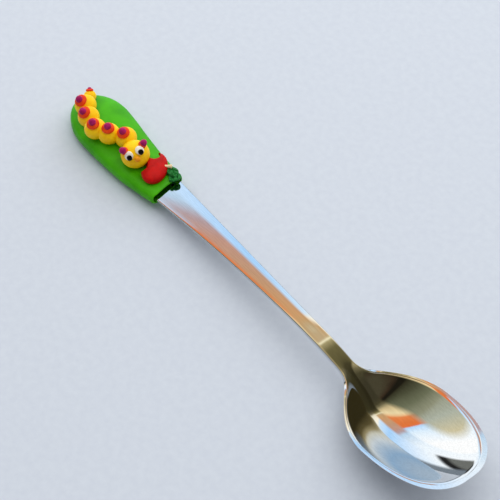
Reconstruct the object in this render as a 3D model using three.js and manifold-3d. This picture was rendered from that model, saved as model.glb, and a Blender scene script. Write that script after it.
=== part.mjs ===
// Cocktail spoon with a modelled handle. One pressed steel spoon, whose tang is held in a baked clay sleeve,
// and a clay grub with a bitten apple and its leaves, pressed on top of the sleeve piece by piece.
// Millimetres. +X runs from the sleeve's round end to the bowl's tip, +Y to the left, +Z up, table at 0.

import * as THREE from "three";
import { mergeVertices } from "three/addons/utils/BufferGeometryUtils.js";
import Module from "manifold-3d";

const wasm = await Module();
wasm.setup();

// Steel spoon: lengths along the handle
const TANG_INSET = 5; // clay beyond the end of the tang
const TANG_ROUND = 5; // length of the tang's round end
const STEM_LENGTH = 66.7; // sleeve's mouth to the crest above the neck
const NECK_LENGTH = 11.4; // crest to the bowl's heel
const BOWL_HEEL = 20.9; // heel to the widest place
const BOWL_TOE = 21.7; // widest place to the tip

// Steel spoon: widths
const TANG_WIDTH = 10.4;
const STEM_WIDTH = 9.57; // where the stem leaves the sleeve
const NECK_WIDTH = 4.65;
const BOWL_WIDTH = 27.7;
const STEM_WAIST = 1.68; // above 1 the stem narrows early and runs slim to the neck
const HEEL_CURVE = 2.2; // 2 is a parabola from the heel to the widest place
const TOE_FULLNESS = 2.36; // 2 is an ellipse, more is blunter

// Steel spoon: heights and gauges
const TANG_LIFT = 0.83; // rise of the tang from its flat to the mouth
const TANG_BEND = 14.2; // length of that rise
const CREST_RISE = 0.77; // crest above the bowl's heel
const HEEL_DROP = 2.18; // heel below the rim at the widest place
const TIP_RISE = 3.75; // tip above the rim at the widest place
const RIM_SLOPE = 0.2; // rise of the rim for each millimetre, at the widest place
const BOWL_DEPTH = 8.7; // rim at the widest place to the floor
const BOWL_SET_BACK = 8.5; // deepest place, from the widest place towards the heel
const DISH_START = 8.4; // hollow begins this far past the crest
const FLOOR_CURVE = 2.1; // 2 is a parabola from the deepest place to the tip
const SECTION_CURVE = 2.3; // 2 is a parabola across the bowl
const STEM_CROWN = 0.35; // the stem's arch across its width
const TANG_GAUGE = 1;
const NECK_GAUGE = 1.52;
const BOWL_GAUGE = 1.1;
const EDGE_ROUND = 0.1; // share of the gauge by which a polished edge bulges

// Clay sleeve
const SLEEVE_LENGTH = 43.4;
const SLEEVE_WIDTH = 17.3;
const MOUTH_WIDTH = 11.6;
const SLEEVE_TAPER = 1.35; // above 1 the sides stay full and draw in towards the mouth
const SLEEVE_SWAY = 0.45; // handmade: the sleeve winds to the left and right of the steel by this much
const SWAY_LENGTH = 54; // one whole winding
const ROUND_END = 12.5; // length of the round end
const END_FALL = 0.6; // below 1 the top stays high over the round end
const CLAY_UNDER = 2.25; // clay below the tang
const CLAY_OVER = 3; // clay above the tang
const MOUTH_UNDER = 1.8; // the same two at the mouth
const MOUTH_OVER = 2;
const FLAT_PRESS = 0.4; // the underside is pressed flat on the table by this much
const LOAF_SECTION = 2.7; // 2 is an ellipse, more is squarer
const MOUTH_SLANT = 0.17; // the mouth is cut askew: length lost for each millimetre to the left
const MOUTH_LIP = 0.5; // rounded edge round the mouth
const SEAT_GAP = 0.15; // bonding gap round the tang and under each pressed-on piece

// Grub: balls and what is pressed on them
const TAIL_WIDTH = 3.7;
const BALL_WIDTH = 6.3;
const HEAD_WIDTH = 8.2;
const BALL_SQUASH = 0.92; // height of a ball over its width
const BALL_PRESS = 0.75; // depth by which a ball is pressed flat on the sleeve
const SPOT_WIDTH = 3.7;
const TAIL_SPOT_WIDTH = 2.2;
const SPOT_HEIGHT = 1.7;
const TAIL_SPOT_HEIGHT = 1.1;
const BEAD_WIDTH = 2.05;
const TAIL_BEAD_WIDTH = 1.5;
const BEAD_SINK = 0.95; // depth by which a bead or a feeler's tip is pressed into its base
const EYE_WIDTH = 2.6;
const EYE_HEIGHT = 1.3;
const PUPIL_WIDTH = 1.6;
const PUPIL_HEIGHT = 0.8;
const NOSE_WIDTH = 1.7;
const FEELER_WIDTH = 2.3;
const FEELER_HEIGHT = 1.7;
const FEELER_TIP_WIDTH = 1.9;
const FEELER_PROUD = 0.2; // middle of the feeler's base above the head

// Grub: where each ball lies as shares of the sleeve's length and half width, tail first, and how
// far its spot leans forwards and to the left from straight up
const BALLS = [
  { name: "tail", along: 0.07, across: 0.24, tail: true, lean: [-0.85, 0.55] },
  { name: "body_2", along: 0.15, across: -0.3, lean: [-0.05, -0.55] },
  { name: "body_3", along: 0.251, across: -0.47, lean: [0, -0.53] },
  { name: "body_4", along: 0.362, across: -0.57, lean: [0.1, -0.28] },
  { name: "body_5", along: 0.455, across: -0.33, lean: [0.1, -0.14] },
  { name: "body_6", along: 0.546, across: 0.05, lean: [0.07, -0.32] },
];
const HEAD = { along: 0.708, across: -0.19 };

// Grub: the face looks up, forwards and to the right, and is turned a little about that direction
const FACE_DIRECTION = new THREE.Vector3(0.45, -0.36, 0.75).normalize();
const FACE_SIDE = new THREE.Vector3(0.24, 0.92, 0.3).normalize();
const EYE_SPREAD = 25; // degrees from the middle of the face
const PUPIL_SPREAD = 23;
const PUPIL_DROP = 8;
const NOSE_DROP = 27;
const FEELERS = [
  { name: "left_feeler", turn: 51, lift: 17 },
  { name: "right_feeler", turn: -35, lift: 26 },
];

// Apple and its stalk, headings in degrees from forwards
const APPLE_LENGTH = 11.2;
const APPLE_WIDTH = 7.5;
const APPLE_HEIGHT = 3.4;
const APPLE_PRESS = 0.8;
const APPLE_FULLNESS = 2.6; // 2 is an ellipse, more is a thicker edge
const APPLE_HEADING = 134;
const APPLE = { along: 0.843, across: 0.1 };
const TOP_BITE_WIDTH = 2.9;
const TOP_BITE_REACH = 4.4; // its middle from the middle of the apple
const CHIN_BITE_WIDTH = 3.2;
const CHIN_BITE_REACH = 3.7;
const BITES = [
  { heading: 147.5, reach: TOP_BITE_REACH, width: TOP_BITE_WIDTH },
  { heading: 231, reach: CHIN_BITE_REACH, width: CHIN_BITE_WIDTH },
];
const STALK_LENGTH = 2.2;
const STALK_WIDTH = 1.2;
const STALK_POINT = 0.5; // width at its thin end
const STALK_HEADING = 52;
const STALK_OVERLAP = 1; // length of stalk that is pressed into the apple's edge
const STALK_RISE = 0.9; // above the middle of the apple

// Leaves, headings in degrees from forwards, the lower one first
const LEAF_LENGTH = 4.3;
const LEAF_WIDTH = 3.4;
const LEAF_THICKNESS = 1.05;
const LEAF_BELLY = 0.4; // widest place behind the middle, towards the round end
const LEAF_POINT = 0.1; // length by which its point is left blunt
const LEAF_SECTION = 3; // 2 is an ellipse, more is squarer
const LEAF_LIFT = 0.25; // middle of a leaf above the sleeve
const LEAF_OVERLAP = 0.55; // the upper leaf lies this much higher than the lower one
const VEIN_WIDTH = 0.34;
const VEIN_DEPTH = 0.2;
const SIDE_VEIN_WIDTH = 0.28;
const SIDE_VEIN_DEPTH = 0.15;
const VEIN_HEADING = 45;
const VEIN_PAIRS = 2;
const VEIN_STEP = 1.65; // between the pairs, along the middle vein
const VEIN_STAGGER = 0.2; // a left vein starts this far ahead of its right one
const VEIN_MARGIN = 0.45; // the middle vein ends this far from the leaf's ends
const LEAVES = [
  { name: "leaf_lower", along: 0.975, across: 0.5, heading: -75, layer: 0 },
  { name: "leaf_upper", along: 0.945, across: 0.58, heading: -19, layer: 1 },
];

// Fineness of the facets
const MERGE = 1e-4;
const BALL_FINE = [16, 10];
const PELLET_FINE = [12, 7];
const APPLE_FINE = [24, 10];
const VEIN_SIDES = 6;
const SHEET_STRIPS = 10;
const SLEEVE_SIDES = 28;
const STEEL_STEPS = { tangEnd: 6, tang: 8, stem: 12, neck: 8, heel: 11, toe: 12 };
const CLAY_STEPS = { sleeveEnd: 9, sleeve: 8, lip: 3, leaf: 6 };
const BLUNT = 0.002; // share of a round end that is left blunt, too little to see
const BLUNT_EDGE = 0.1; // least share of the sheet's half width that is left between its edges
const REACH = 40; // cutting tools reach well past what they cut

const STEEL = { color: 0xd4d6d8, roughness: 0.08, metalness: 1 };
const GREEN_CLAY = { color: 0x4fb81e, roughness: 0.42, metalness: 0 };
const YELLOW_CLAY = { color: 0xf7c413, roughness: 0.45, metalness: 0 };
const ORANGE_CLAY = { color: 0xe04312, roughness: 0.45, metalness: 0 };
const PURPLE_CLAY = { color: 0x98205f, roughness: 0.45, metalness: 0 };
const WHITE_CLAY = { color: 0xe6ded0, roughness: 0.45, metalness: 0 };
const BLACK_CLAY = { color: 0x0b0a0a, roughness: 0.35, metalness: 0 };
const AMBER_CLAY = { color: 0xf5ae1c, roughness: 0.45, metalness: 0 };
const RED_CLAY = { color: 0xcf1a17, roughness: 0.42, metalness: 0 };
const CREAM_CLAY = { color: 0xf3d3a4, roughness: 0.5, metalness: 0 };
const LEAF_CLAY = { color: 0x1f7a35, roughness: 0.45, metalness: 0 };

// Places along X, and heights of the middle of the steel sheet
const MOUTH = SLEEVE_LENGTH;
const CREST = MOUTH + STEM_LENGTH;
const HEEL = CREST + NECK_LENGTH;
const WIDEST = HEEL + BOWL_HEEL;
const TIP = WIDEST + BOWL_TOE;
const DEEPEST = WIDEST - BOWL_SET_BACK;
const DISH = CREST + DISH_START;
const TANG_HEIGHT = CLAY_UNDER + TANG_GAUGE / 2;
const MOUTH_HEIGHT = TANG_HEIGHT + TANG_LIFT;
const FLOOR_HEIGHT = BOWL_GAUGE / 2;
const RIM_HEIGHT = FLOOR_HEIGHT + BOWL_DEPTH;
const HEEL_HEIGHT = RIM_HEIGHT - HEEL_DROP;
const CREST_HEIGHT = HEEL_HEIGHT + CREST_RISE;

const UP = new THREE.Vector3(0, 0, 1);
const FORWARDS = new THREE.Vector3(1, 0, 0);
const { lerp, clamp, smoothstep, degToRad } = THREE.MathUtils;

function share(value, start, end) {
  return clamp((value - start) / (end - start), 0, 1);
}

function superellipse(offset, fullness) {
  return (1 - Math.min(1, Math.abs(offset)) ** fullness) ** (1 / fullness);
}

// A place on a squared ellipse, from its right over the top to its left and back underneath
function section(turn, fullness) {
  const [level, upright] = [-Math.cos(2 * Math.PI * turn), Math.sin(2 * Math.PI * turn)];
  const squared = (value) => Math.sign(value) * Math.abs(value) ** (2 / fullness);
  return { across: squared(level), rise: squared(upright) };
}

function heading(degrees) {
  const angle = degToRad(degrees);
  return new THREE.Vector3(Math.cos(angle), Math.sin(angle), 0);
}

// Closed skins and solids

function solidOf(geometry) {
  const bare = geometry.clone();
  bare.deleteAttribute("normal");
  bare.deleteAttribute("uv");
  const merged = mergeVertices(bare, MERGE);
  const corners = merged.index.array;
  const faces = [];
  for (let first = 0; first < corners.length; first += 3) {
    const face = corners.slice(first, first + 3);
    if (new Set(face).size === 3) {
      faces.push(...face);
    }
  }
  const vertProperties = new Float32Array(merged.attributes.position.array);
  return new wasm.Manifold(new wasm.Mesh({ numProp: 3, vertProperties, triVerts: new Uint32Array(faces) }));
}

function geometryOf(solid) {
  const mesh = solid.getMesh();
  const geometry = new THREE.BufferGeometry();
  geometry.setAttribute("position", new THREE.BufferAttribute(new Float32Array(mesh.vertProperties), 3));
  geometry.setIndex(new THREE.BufferAttribute(new Uint32Array(mesh.triVerts), 1));
  geometry.computeVertexNormals();
  return geometry;
}

function cut(geometry, tools) {
  return geometryOf(tools.reduce((rest, tool) => rest.subtract(solidOf(tool)), solidOf(geometry)));
}

// Joins rings of points into a closed skin. A ring starts at its right, runs over the top to its left and
// back underneath, and has as many points above as below.
function loft(rings) {
  const sides = rings[0].length;
  const faces = [];
  for (let ring = 0; ring + 1 < rings.length; ring += 1) {
    for (let side = 0; side < sides; side += 1) {
      const here = ring * sides + side;
      const beside = ring * sides + ((side + 1) % sides);
      faces.push(here, here + sides, beside);
      faces.push(beside, here + sides, beside + sides);
    }
  }
  const last = (rings.length - 1) * sides;
  const cap = (a, b, c) => faces.push(a, b, c, last + a, last + c, last + b);
  cap(0, 1, sides - 1);
  for (let side = 1; side + 1 < sides / 2; side += 1) {
    cap(side, side + 1, sides - side);
    cap(side + 1, sides - side - 1, sides - side);
  }
  cap(sides / 2 - 1, sides / 2, sides / 2 + 1);
  const geometry = new THREE.BufferGeometry().setFromPoints(rings.flat());
  geometry.setIndex(faces);
  geometry.computeVertexNormals();
  return geometry;
}

function addPiece(group, name, geometry, finish) {
  geometry.computeBoundingBox();
  const centre = geometry.boundingBox.getCenter(new THREE.Vector3());
  geometry.translate(-centre.x, -centre.y, -centre.z);
  const piece = new THREE.Mesh(geometry, new THREE.MeshStandardMaterial(finish));
  piece.name = name;
  piece.position.copy(centre);
  group.add(piece);
}

// Steel spoon: the middle of the sheet follows its half width, the height of its edges and its hollow

function sheetHalfWidth(x) {
  if (x < MOUTH) {
    const roundEnd = superellipse(1 - share(x, TANG_INSET, TANG_INSET + TANG_ROUND), 2);
    return lerp(TANG_WIDTH / 2, STEM_WIDTH / 2, share(x, TANG_INSET, MOUTH)) * roundEnd;
  }
  if (x < CREST) {
    return lerp(NECK_WIDTH / 2, STEM_WIDTH / 2, (1 - share(x, MOUTH, CREST)) ** STEM_WAIST);
  }
  if (x > WIDEST) {
    return (BOWL_WIDTH / 2) * superellipse((x - WIDEST) / BOWL_TOE, TOE_FULLNESS);
  }
  const neck = (NECK_WIDTH / 2) * (1 - share(x, HEEL, WIDEST));
  const bowl = (BOWL_WIDTH / 2) * (1 - (1 - share(x, HEEL, WIDEST)) ** HEEL_CURVE);
  return Math.hypot(neck, bowl);
}

// The rim is a parabola from the widest place to the tip, and another one back to the heel
function rimHeight(x) {
  const offset = x - WIDEST;
  const end = offset < 0 ? -BOWL_HEEL : BOWL_TOE;
  const sweep = (offset < 0 ? -HEEL_DROP : TIP_RISE) - RIM_SLOPE * end;
  return RIM_HEIGHT + RIM_SLOPE * offset + sweep * (offset / end) ** 2;
}

function edgeHeight(x) {
  const mouthSlope = (2 * TANG_LIFT) / TANG_BEND;
  const stemSlope = (CREST_HEIGHT - MOUTH_HEIGHT) / STEM_LENGTH;
  if (x < MOUTH) {
    return TANG_HEIGHT + TANG_LIFT * share(x, MOUTH - TANG_BEND, MOUTH) ** 2;
  }
  if (x < CREST) {
    const along = x - MOUTH;
    return MOUTH_HEIGHT + mouthSlope * along + ((stemSlope - mouthSlope) * along ** 2) / STEM_LENGTH;
  }
  if (x < HEEL) {
    const step = share(x, CREST, HEEL);
    const crestSlope = 2 * stemSlope - mouthSlope;
    const heelSlope = (2 * HEEL_DROP) / BOWL_HEEL - RIM_SLOPE;
    const leaving = crestSlope * NECK_LENGTH * step * (1 - step) ** 2;
    const arriving = heelSlope * NECK_LENGTH * step ** 2 * (1 - step);
    return lerp(CREST_HEIGHT, HEEL_HEIGHT, smoothstep(step, 0, 1)) + leaving - arriving;
  }
  return rimHeight(x);
}

// Depth of the middle line below the edges, negative where the stem is crowned
function hollow(x) {
  if (x < CREST) {
    return -STEM_CROWN * smoothstep(x, TANG_INSET, MOUTH) * (1 - smoothstep(x, MOUTH, CREST));
  }
  const drop = edgeHeight(x) - FLOOR_HEIGHT;
  const toeFall = 1 - share(x, DEEPEST, TIP) ** FLOOR_CURVE;
  return drop * (x < DEEPEST ? smoothstep(x, DISH, DEEPEST) : toeFall);
}

function gauge(x) {
  if (x < CREST) {
    return lerp(TANG_GAUGE, NECK_GAUGE, smoothstep(x, MOUTH, CREST));
  }
  return lerp(NECK_GAUGE, BOWL_GAUGE, smoothstep(x, CREST, DEEPEST));
}

// The sheet's edge is square to it, so on a sloping wall half the gauge and the bulge lie beyond the middle
function middleHalfWidth(x) {
  const outline = sheetHalfWidth(x);
  const tilt = Math.atan2(SECTION_CURVE * hollow(x), outline);
  const beyond = gauge(x) * (EDGE_ROUND * Math.cos(tilt) + Math.abs(Math.sin(tilt)) / 2);
  return Math.max(outline - beyond, outline * BLUNT_EDGE);
}

function sheetPoint(x, across, grow) {
  const y = across * (middleHalfWidth(x) + grow);
  const z = edgeHeight(x) - hollow(x) * (1 - Math.abs(across) ** SECTION_CURVE);
  return new THREE.Vector3(x, y, z);
}

// The sheet's upward direction, from two short chords of its middle, along and across
function sheetNormal(x, across, grow) {
  const from = Math.max(x - SEAT_GAP, TANG_INSET);
  const to = Math.min(x + SEAT_GAP, TIP);
  const tilt = SEAT_GAP / BOWL_WIDTH;
  const along = sheetPoint(to, across, grow).sub(sheetPoint(from, across, grow));
  const right = sheetPoint(x, Math.max(across - tilt, -1), grow);
  const left = sheetPoint(x, Math.min(across + tilt, 1), grow);
  return along.cross(left.sub(right)).normalize();
}

function sheetRing(x, grow = 0) {
  const half = gauge(x) / 2 + grow;
  const top = [];
  const bottom = [];
  for (let strip = 0; strip <= SHEET_STRIPS; strip += 1) {
    const across = (2 * strip) / SHEET_STRIPS - 1;
    const middle = sheetPoint(x, across, grow);
    const offset = sheetNormal(x, across, grow).multiplyScalar(half);
    top.push(middle.clone().add(offset));
    bottom.unshift(middle.clone().sub(offset));
  }
  const [right, left] = [-1, 1].map((across) => {
    const outwards = sheetNormal(x, across, grow).cross(FORWARDS).multiplyScalar(across);
    return sheetPoint(x, across, grow).addScaledVector(outwards, gauge(x) * EDGE_ROUND);
  });
  return [right, ...top, left, ...bottom];
}

// Places from one end up to, and without, the other, closer together towards a round end
function places(from, to, count, ease = (step) => step) {
  return Array.from({ length: count }, (_, index) => lerp(from, to, ease(index / count)));
}

const easeFrom = (step) => 1 - Math.cos((step * Math.PI) / 2);
const easeInto = (step) => Math.sin((step * Math.PI) / 2);

function tangPlaces() {
  const roundEnd = TANG_INSET + TANG_ROUND;
  const start = TANG_INSET + BLUNT * TANG_ROUND;
  const end = places(start, roundEnd, STEEL_STEPS.tangEnd, easeFrom);
  return [...end, ...places(roundEnd, MOUTH, STEEL_STEPS.tang)];
}

function steelSpoon() {
  const tip = TIP - BLUNT * BOWL_TOE;
  const stations = [
    ...tangPlaces(),
    ...places(MOUTH, CREST, STEEL_STEPS.stem),
    ...places(CREST, HEEL, STEEL_STEPS.neck),
    ...places(HEEL, WIDEST, STEEL_STEPS.heel, easeFrom),
    ...places(WIDEST, tip, STEEL_STEPS.toe, easeInto),
    tip,
  ];
  return loft(stations.map((x) => sheetRing(x)));
}

// The sleeve's pocket is the tang, grown by the bonding gap and run out through the mouth
function tangPocket() {
  const rings = [...tangPlaces(), MOUTH, MOUTH + MOUTH_WIDTH].map((x) => sheetRing(x, SEAT_GAP));
  rings[0].forEach((point) => point.setX(TANG_INSET - SEAT_GAP));
  return loft(rings);
}

// Clay sleeve

function roundEnd(x) {
  return superellipse(1 - share(x, 0, ROUND_END), 2);
}

function sleeveMiddle(x) {
  return SLEEVE_SWAY * Math.cos((2 * Math.PI * x) / SWAY_LENGTH);
}

function sleeveHalfWidth(x) {
  return (lerp(SLEEVE_WIDTH, MOUTH_WIDTH, share(x, ROUND_END, MOUTH) ** SLEEVE_TAPER) / 2) * roundEnd(x);
}

function clayOver(x) {
  const clay = lerp(CLAY_OVER, MOUTH_OVER, smoothstep(x, ROUND_END, MOUTH));
  return (TANG_GAUGE / 2 + clay) * roundEnd(x) ** END_FALL;
}

function clayUnder(x) {
  const clay = lerp(CLAY_UNDER + FLAT_PRESS, MOUTH_UNDER, smoothstep(x, MOUTH - TANG_BEND, MOUTH));
  return (TANG_GAUGE / 2 + clay) * roundEnd(x) ** END_FALL;
}

function sleeveTop(x, y) {
  const across = (y - sleeveMiddle(x)) / sleeveHalfWidth(x);
  return edgeHeight(x) + clayOver(x) * superellipse(across, LOAF_SECTION);
}

function sleeveRing(x, grow) {
  const lip = share(x, MOUTH - MOUTH_LIP, MOUTH);
  const inset = MOUTH_LIP * (1 - superellipse(lip, 2)) - grow;
  const slant = MOUTH_SLANT * share(x, ROUND_END, MOUTH) ** 2;
  const stretch = grow * (2 * share(x, 0, MOUTH) - 1);
  return Array.from({ length: SLEEVE_SIDES }, (_, side) => {
    const { across, rise } = section(side / SLEEVE_SIDES, LOAF_SECTION);
    const y = sleeveMiddle(x) + across * (sleeveHalfWidth(x) - inset);
    const z = edgeHeight(x) + rise * ((rise > 0 ? clayOver(x) : clayUnder(x)) - inset);
    return new THREE.Vector3(x + stretch - slant * y, y, z);
  });
}

const sleeve = {
  shape(grow) {
    const stations = [
      ...places(BLUNT * ROUND_END, ROUND_END, CLAY_STEPS.sleeveEnd, easeFrom),
      ...places(ROUND_END, MOUTH - MOUTH_LIP, CLAY_STEPS.sleeve),
      ...places(MOUTH - MOUTH_LIP, MOUTH, CLAY_STEPS.lip, easeInto),
      MOUTH,
    ];
    return loft(stations.map((x) => sleeveRing(x, grow)));
  },
};

function tableTop() {
  const slab = new THREE.BoxGeometry(2 * REACH, 2 * REACH, REACH);
  return slab.translate(MOUTH / 2, 0, -REACH / 2);
}

function onSleeve({ along, across }) {
  const x = along * MOUTH;
  const y = sleeveMiddle(x) + across * sleeveHalfWidth(x);
  return new THREE.Vector3(x, y, sleeveTop(x, y));
}

function sleeveNormal(place) {
  const ahead = sleeveTop(place.x + SEAT_GAP, place.y) - sleeveTop(place.x - SEAT_GAP, place.y);
  const aside = sleeveTop(place.x, place.y + SEAT_GAP) - sleeveTop(place.x, place.y - SEAT_GAP);
  return new THREE.Vector3(-ahead, -aside, 2 * SEAT_GAP).normalize();
}

// A pinch of clay, rolled into a ball and flattened along the direction that it faces
class Pellet {
  constructor({ at, facing = UP, width, height = width, fine = PELLET_FINE }) {
    this.at = at;
    this.turn = new THREE.Quaternion().setFromUnitVectors(UP, facing);
    this.radii = new THREE.Vector3(width / 2, width / 2, height / 2);
    this.fine = fine;
  }

  shape(grow = 0) {
    const ball = new THREE.SphereGeometry(1, ...this.fine).rotateX(Math.PI / 2);
    ball.rotateZ(grow > 0 ? Math.PI / this.fine[0] : 0);
    ball.scale(this.radii.x + grow, this.radii.y + grow, this.radii.z + grow);
    return ball.applyQuaternion(this.turn).translate(this.at.x, this.at.y, this.at.z);
  }

  get reach() {
    return Math.max(this.radii.x, this.radii.z);
  }

  // The point of the surface in a direction from the middle, or a little above it
  surface(direction, proud = 0) {
    const local = direction.clone().applyQuaternion(this.turn.clone().invert());
    const radius = 1 / local.divide(this.radii).length();
    return this.at.clone().addScaledVector(direction, radius + proud);
  }

  touches(other) {
    return !(other instanceof Pellet) || this.at.distanceTo(other.at) < this.reach + other.reach + SEAT_GAP;
  }
}

// What lies on the sleeve so far. A new piece is pressed against it and keeps the bonding gap.
const pressedOn = [sleeve];

function press(piece) {
  const seats = pressedOn.filter((other) => !(piece instanceof Pellet) || piece.touches(other));
  pressedOn.push(piece);
  return cut(piece.shape(), seats.map((other) => other.shape(SEAT_GAP)));
}

// Grub

function bodyBall({ along, across, tail }) {
  const width = tail ? TAIL_WIDTH : BALL_WIDTH;
  return restingBall({ along, across }, width);
}

function restingBall(place, width) {
  const height = width * BALL_SQUASH;
  const at = onSleeve(place).addScaledVector(UP, height / 2 - BALL_PRESS);
  return new Pellet({ at, width, height, fine: BALL_FINE });
}

// The block beyond the flat where two balls are pushed together
function contactFlat(ball, other) {
  const away = other.at.clone().sub(ball.at);
  const distance = away.length();
  const flat = (distance ** 2 + ball.reach ** 2 - other.reach ** 2) / (2 * distance);
  away.divideScalar(distance);
  const middle = ball.at.clone().addScaledVector(away, flat - SEAT_GAP / 2 + REACH / 2);
  const block = new THREE.BoxGeometry(REACH, REACH, REACH);
  block.applyQuaternion(new THREE.Quaternion().setFromUnitVectors(FORWARDS, away));
  return block.translate(middle.x, middle.y, middle.z);
}

function pushedTogether(ball, others) {
  const flats = others.filter((other) => other !== ball && ball.touches(other));
  return cut(ball.shape(), [sleeve.shape(SEAT_GAP), ...flats.map((other) => contactFlat(ball, other))]);
}

function spotOn(ball, { lean, tail }) {
  const facing = new THREE.Vector3(lean[0], lean[1], 1).normalize();
  const width = tail ? TAIL_SPOT_WIDTH : SPOT_WIDTH;
  const height = tail ? TAIL_SPOT_HEIGHT : SPOT_HEIGHT;
  return { facing, pellet: new Pellet({ at: ball.surface(facing), facing, width, height }) };
}

function beadOn(base, facing, width) {
  return new Pellet({ at: base.surface(facing, width / 2 - BEAD_SINK), facing, width });
}

const faceUp = FACE_DIRECTION.clone().cross(FACE_SIDE).normalize();
const faceSide = faceUp.clone().cross(FACE_DIRECTION);

function faceDirection(turn, lift) {
  const level = Math.cos(degToRad(lift));
  return FACE_DIRECTION.clone()
    .multiplyScalar(level * Math.cos(degToRad(turn)))
    .addScaledVector(faceSide, level * Math.sin(degToRad(turn)))
    .addScaledVector(faceUp, Math.sin(degToRad(lift)));
}

function grub() {
  const group = new THREE.Group();
  const balls = BALLS.map(bodyBall);
  const head = restingBall(HEAD, HEAD_WIDTH);
  const chain = [...balls, head];
  balls.forEach((ball, index) => {
    addPiece(group, `${BALLS[index].name}_ball`, pushedTogether(ball, chain), YELLOW_CLAY);
  });
  addPiece(group, "head_ball", pushedTogether(head, chain), YELLOW_CLAY);
  pressedOn.push(...chain);
  balls.forEach((ball, index) => {
    const { facing, pellet } = spotOn(ball, BALLS[index]);
    const bead = beadOn(pellet, facing, BALLS[index].tail ? TAIL_BEAD_WIDTH : BEAD_WIDTH);
    addPiece(group, `${BALLS[index].name}_spot`, press(pellet), ORANGE_CLAY);
    addPiece(group, `${BALLS[index].name}_bead`, press(bead), PURPLE_CLAY);
  });
  face(group, head);
  return group;
}

function face(group, head) {
  const nose = faceDirection(0, -NOSE_DROP);
  const nosePellet = new Pellet({ at: head.surface(nose), facing: nose, width: NOSE_WIDTH });
  [["left", 1], ["right", -1]].forEach(([side, sign]) => {
    const gaze = faceDirection(sign * EYE_SPREAD, 0);
    const eye = new Pellet({ at: head.surface(gaze), facing: gaze, width: EYE_WIDTH, height: EYE_HEIGHT });
    const aim = faceDirection(sign * PUPIL_SPREAD, -PUPIL_DROP);
    const at = head.surface(aim, EYE_HEIGHT / 2);
    const pupil = new Pellet({ at, facing: aim, width: PUPIL_WIDTH, height: PUPIL_HEIGHT });
    addPiece(group, `${side}_eye`, press(eye), WHITE_CLAY);
    addPiece(group, `${side}_pupil`, press(pupil), BLACK_CLAY);
  });
  addPiece(group, "nose", press(nosePellet), AMBER_CLAY);
  FEELERS.forEach(({ name, turn, lift }) => {
    const facing = faceDirection(turn, lift);
    const foot = head.surface(facing, FEELER_PROUD);
    const base = new Pellet({ at: foot, facing, width: FEELER_WIDTH, height: FEELER_HEIGHT });
    const tip = beadOn(base, facing, FEELER_TIP_WIDTH);
    addPiece(group, `${name}_base`, press(base), ORANGE_CLAY);
    addPiece(group, `${name}_tip`, press(tip), PURPLE_CLAY);
  });
}

// Apple, bitten on the side of the grub

const appleMiddle = onSleeve(APPLE).addScaledVector(UP, APPLE_HEIGHT / 2 - APPLE_PRESS);

const apple = {
  shape(grow = 0) {
    const steps = APPLE_FINE[1];
    const profile = Array.from({ length: steps + 1 }, (_, step) => {
      const rise = -Math.cos((Math.PI * step) / steps);
      const out = Math.abs(Math.sin((Math.PI * step) / steps));
      const round = 2 / APPLE_FULLNESS;
      const inner = step > 0 && step < steps ? out ** round : 0;
      return new THREE.Vector2(inner, Math.sign(rise) * Math.abs(rise) ** round);
    });
    const disc = new THREE.LatheGeometry(profile, APPLE_FINE[0]).rotateX(Math.PI / 2);
    disc.scale(APPLE_LENGTH / 2 + grow, APPLE_WIDTH / 2 + grow, APPLE_HEIGHT / 2 + grow);
    disc.rotateZ(degToRad(APPLE_HEADING));
    return disc.translate(appleMiddle.x, appleMiddle.y, appleMiddle.z);
  },
};

function bite({ heading: degrees, reach, width }) {
  const middle = appleMiddle.clone().addScaledVector(heading(degrees), reach);
  const tool = new THREE.CylinderGeometry(width / 2, width / 2, REACH, APPLE_FINE[0]);
  return tool.rotateX(Math.PI / 2).translate(middle.x, middle.y, middle.z);
}

const stalk = {
  shape(grow = 0) {
    const out = heading(STALK_HEADING);
    const start = appleMiddle.clone().addScaledVector(out, APPLE_WIDTH / 2 - STALK_OVERLAP);
    const middle = start.addScaledVector(out, STALK_LENGTH / 2);
    middle.z += STALK_RISE;
    const peg = new THREE.CylinderGeometry(
      STALK_WIDTH / 2 + grow,
      STALK_POINT / 2 + grow,
      STALK_LENGTH + 2 * grow,
      PELLET_FINE[0],
    );
    peg.rotateZ(-Math.PI / 2).rotateZ(degToRad(STALK_HEADING));
    return peg.translate(middle.x, middle.y, middle.z);
  },
};

// Leaf: an oval, round at its base and pointed at its end, lying on the sleeve, its veins pressed in

function leafOn({ along, across, heading: degrees, layer }) {
  const seat = onSleeve({ along, across });
  const normal = sleeveNormal(seat);
  const middle = seat.clone().addScaledVector(normal, LEAF_LIFT + layer * LEAF_OVERLAP);
  const turn = new THREE.Quaternion().setFromUnitVectors(UP, normal);
  turn.multiply(new THREE.Quaternion().setFromAxisAngle(UP, degToRad(degrees)));
  const lay = (geometry) => geometry.applyQuaternion(turn).translate(middle.x, middle.y, middle.z);
  return {
    shape: (grow = 0) => lay(leafBlade(grow)),
    veins: () => leafVeins().map(lay),
  };
}

function leafHalfWidth(along) {
  const point = along > -LEAF_BELLY;
  const offset = (along + LEAF_BELLY) / (LEAF_LENGTH / 2 + (point ? LEAF_BELLY : -LEAF_BELLY));
  return (LEAF_WIDTH / 2) * (point ? 1 - offset ** 2 : superellipse(offset, 2));
}

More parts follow.
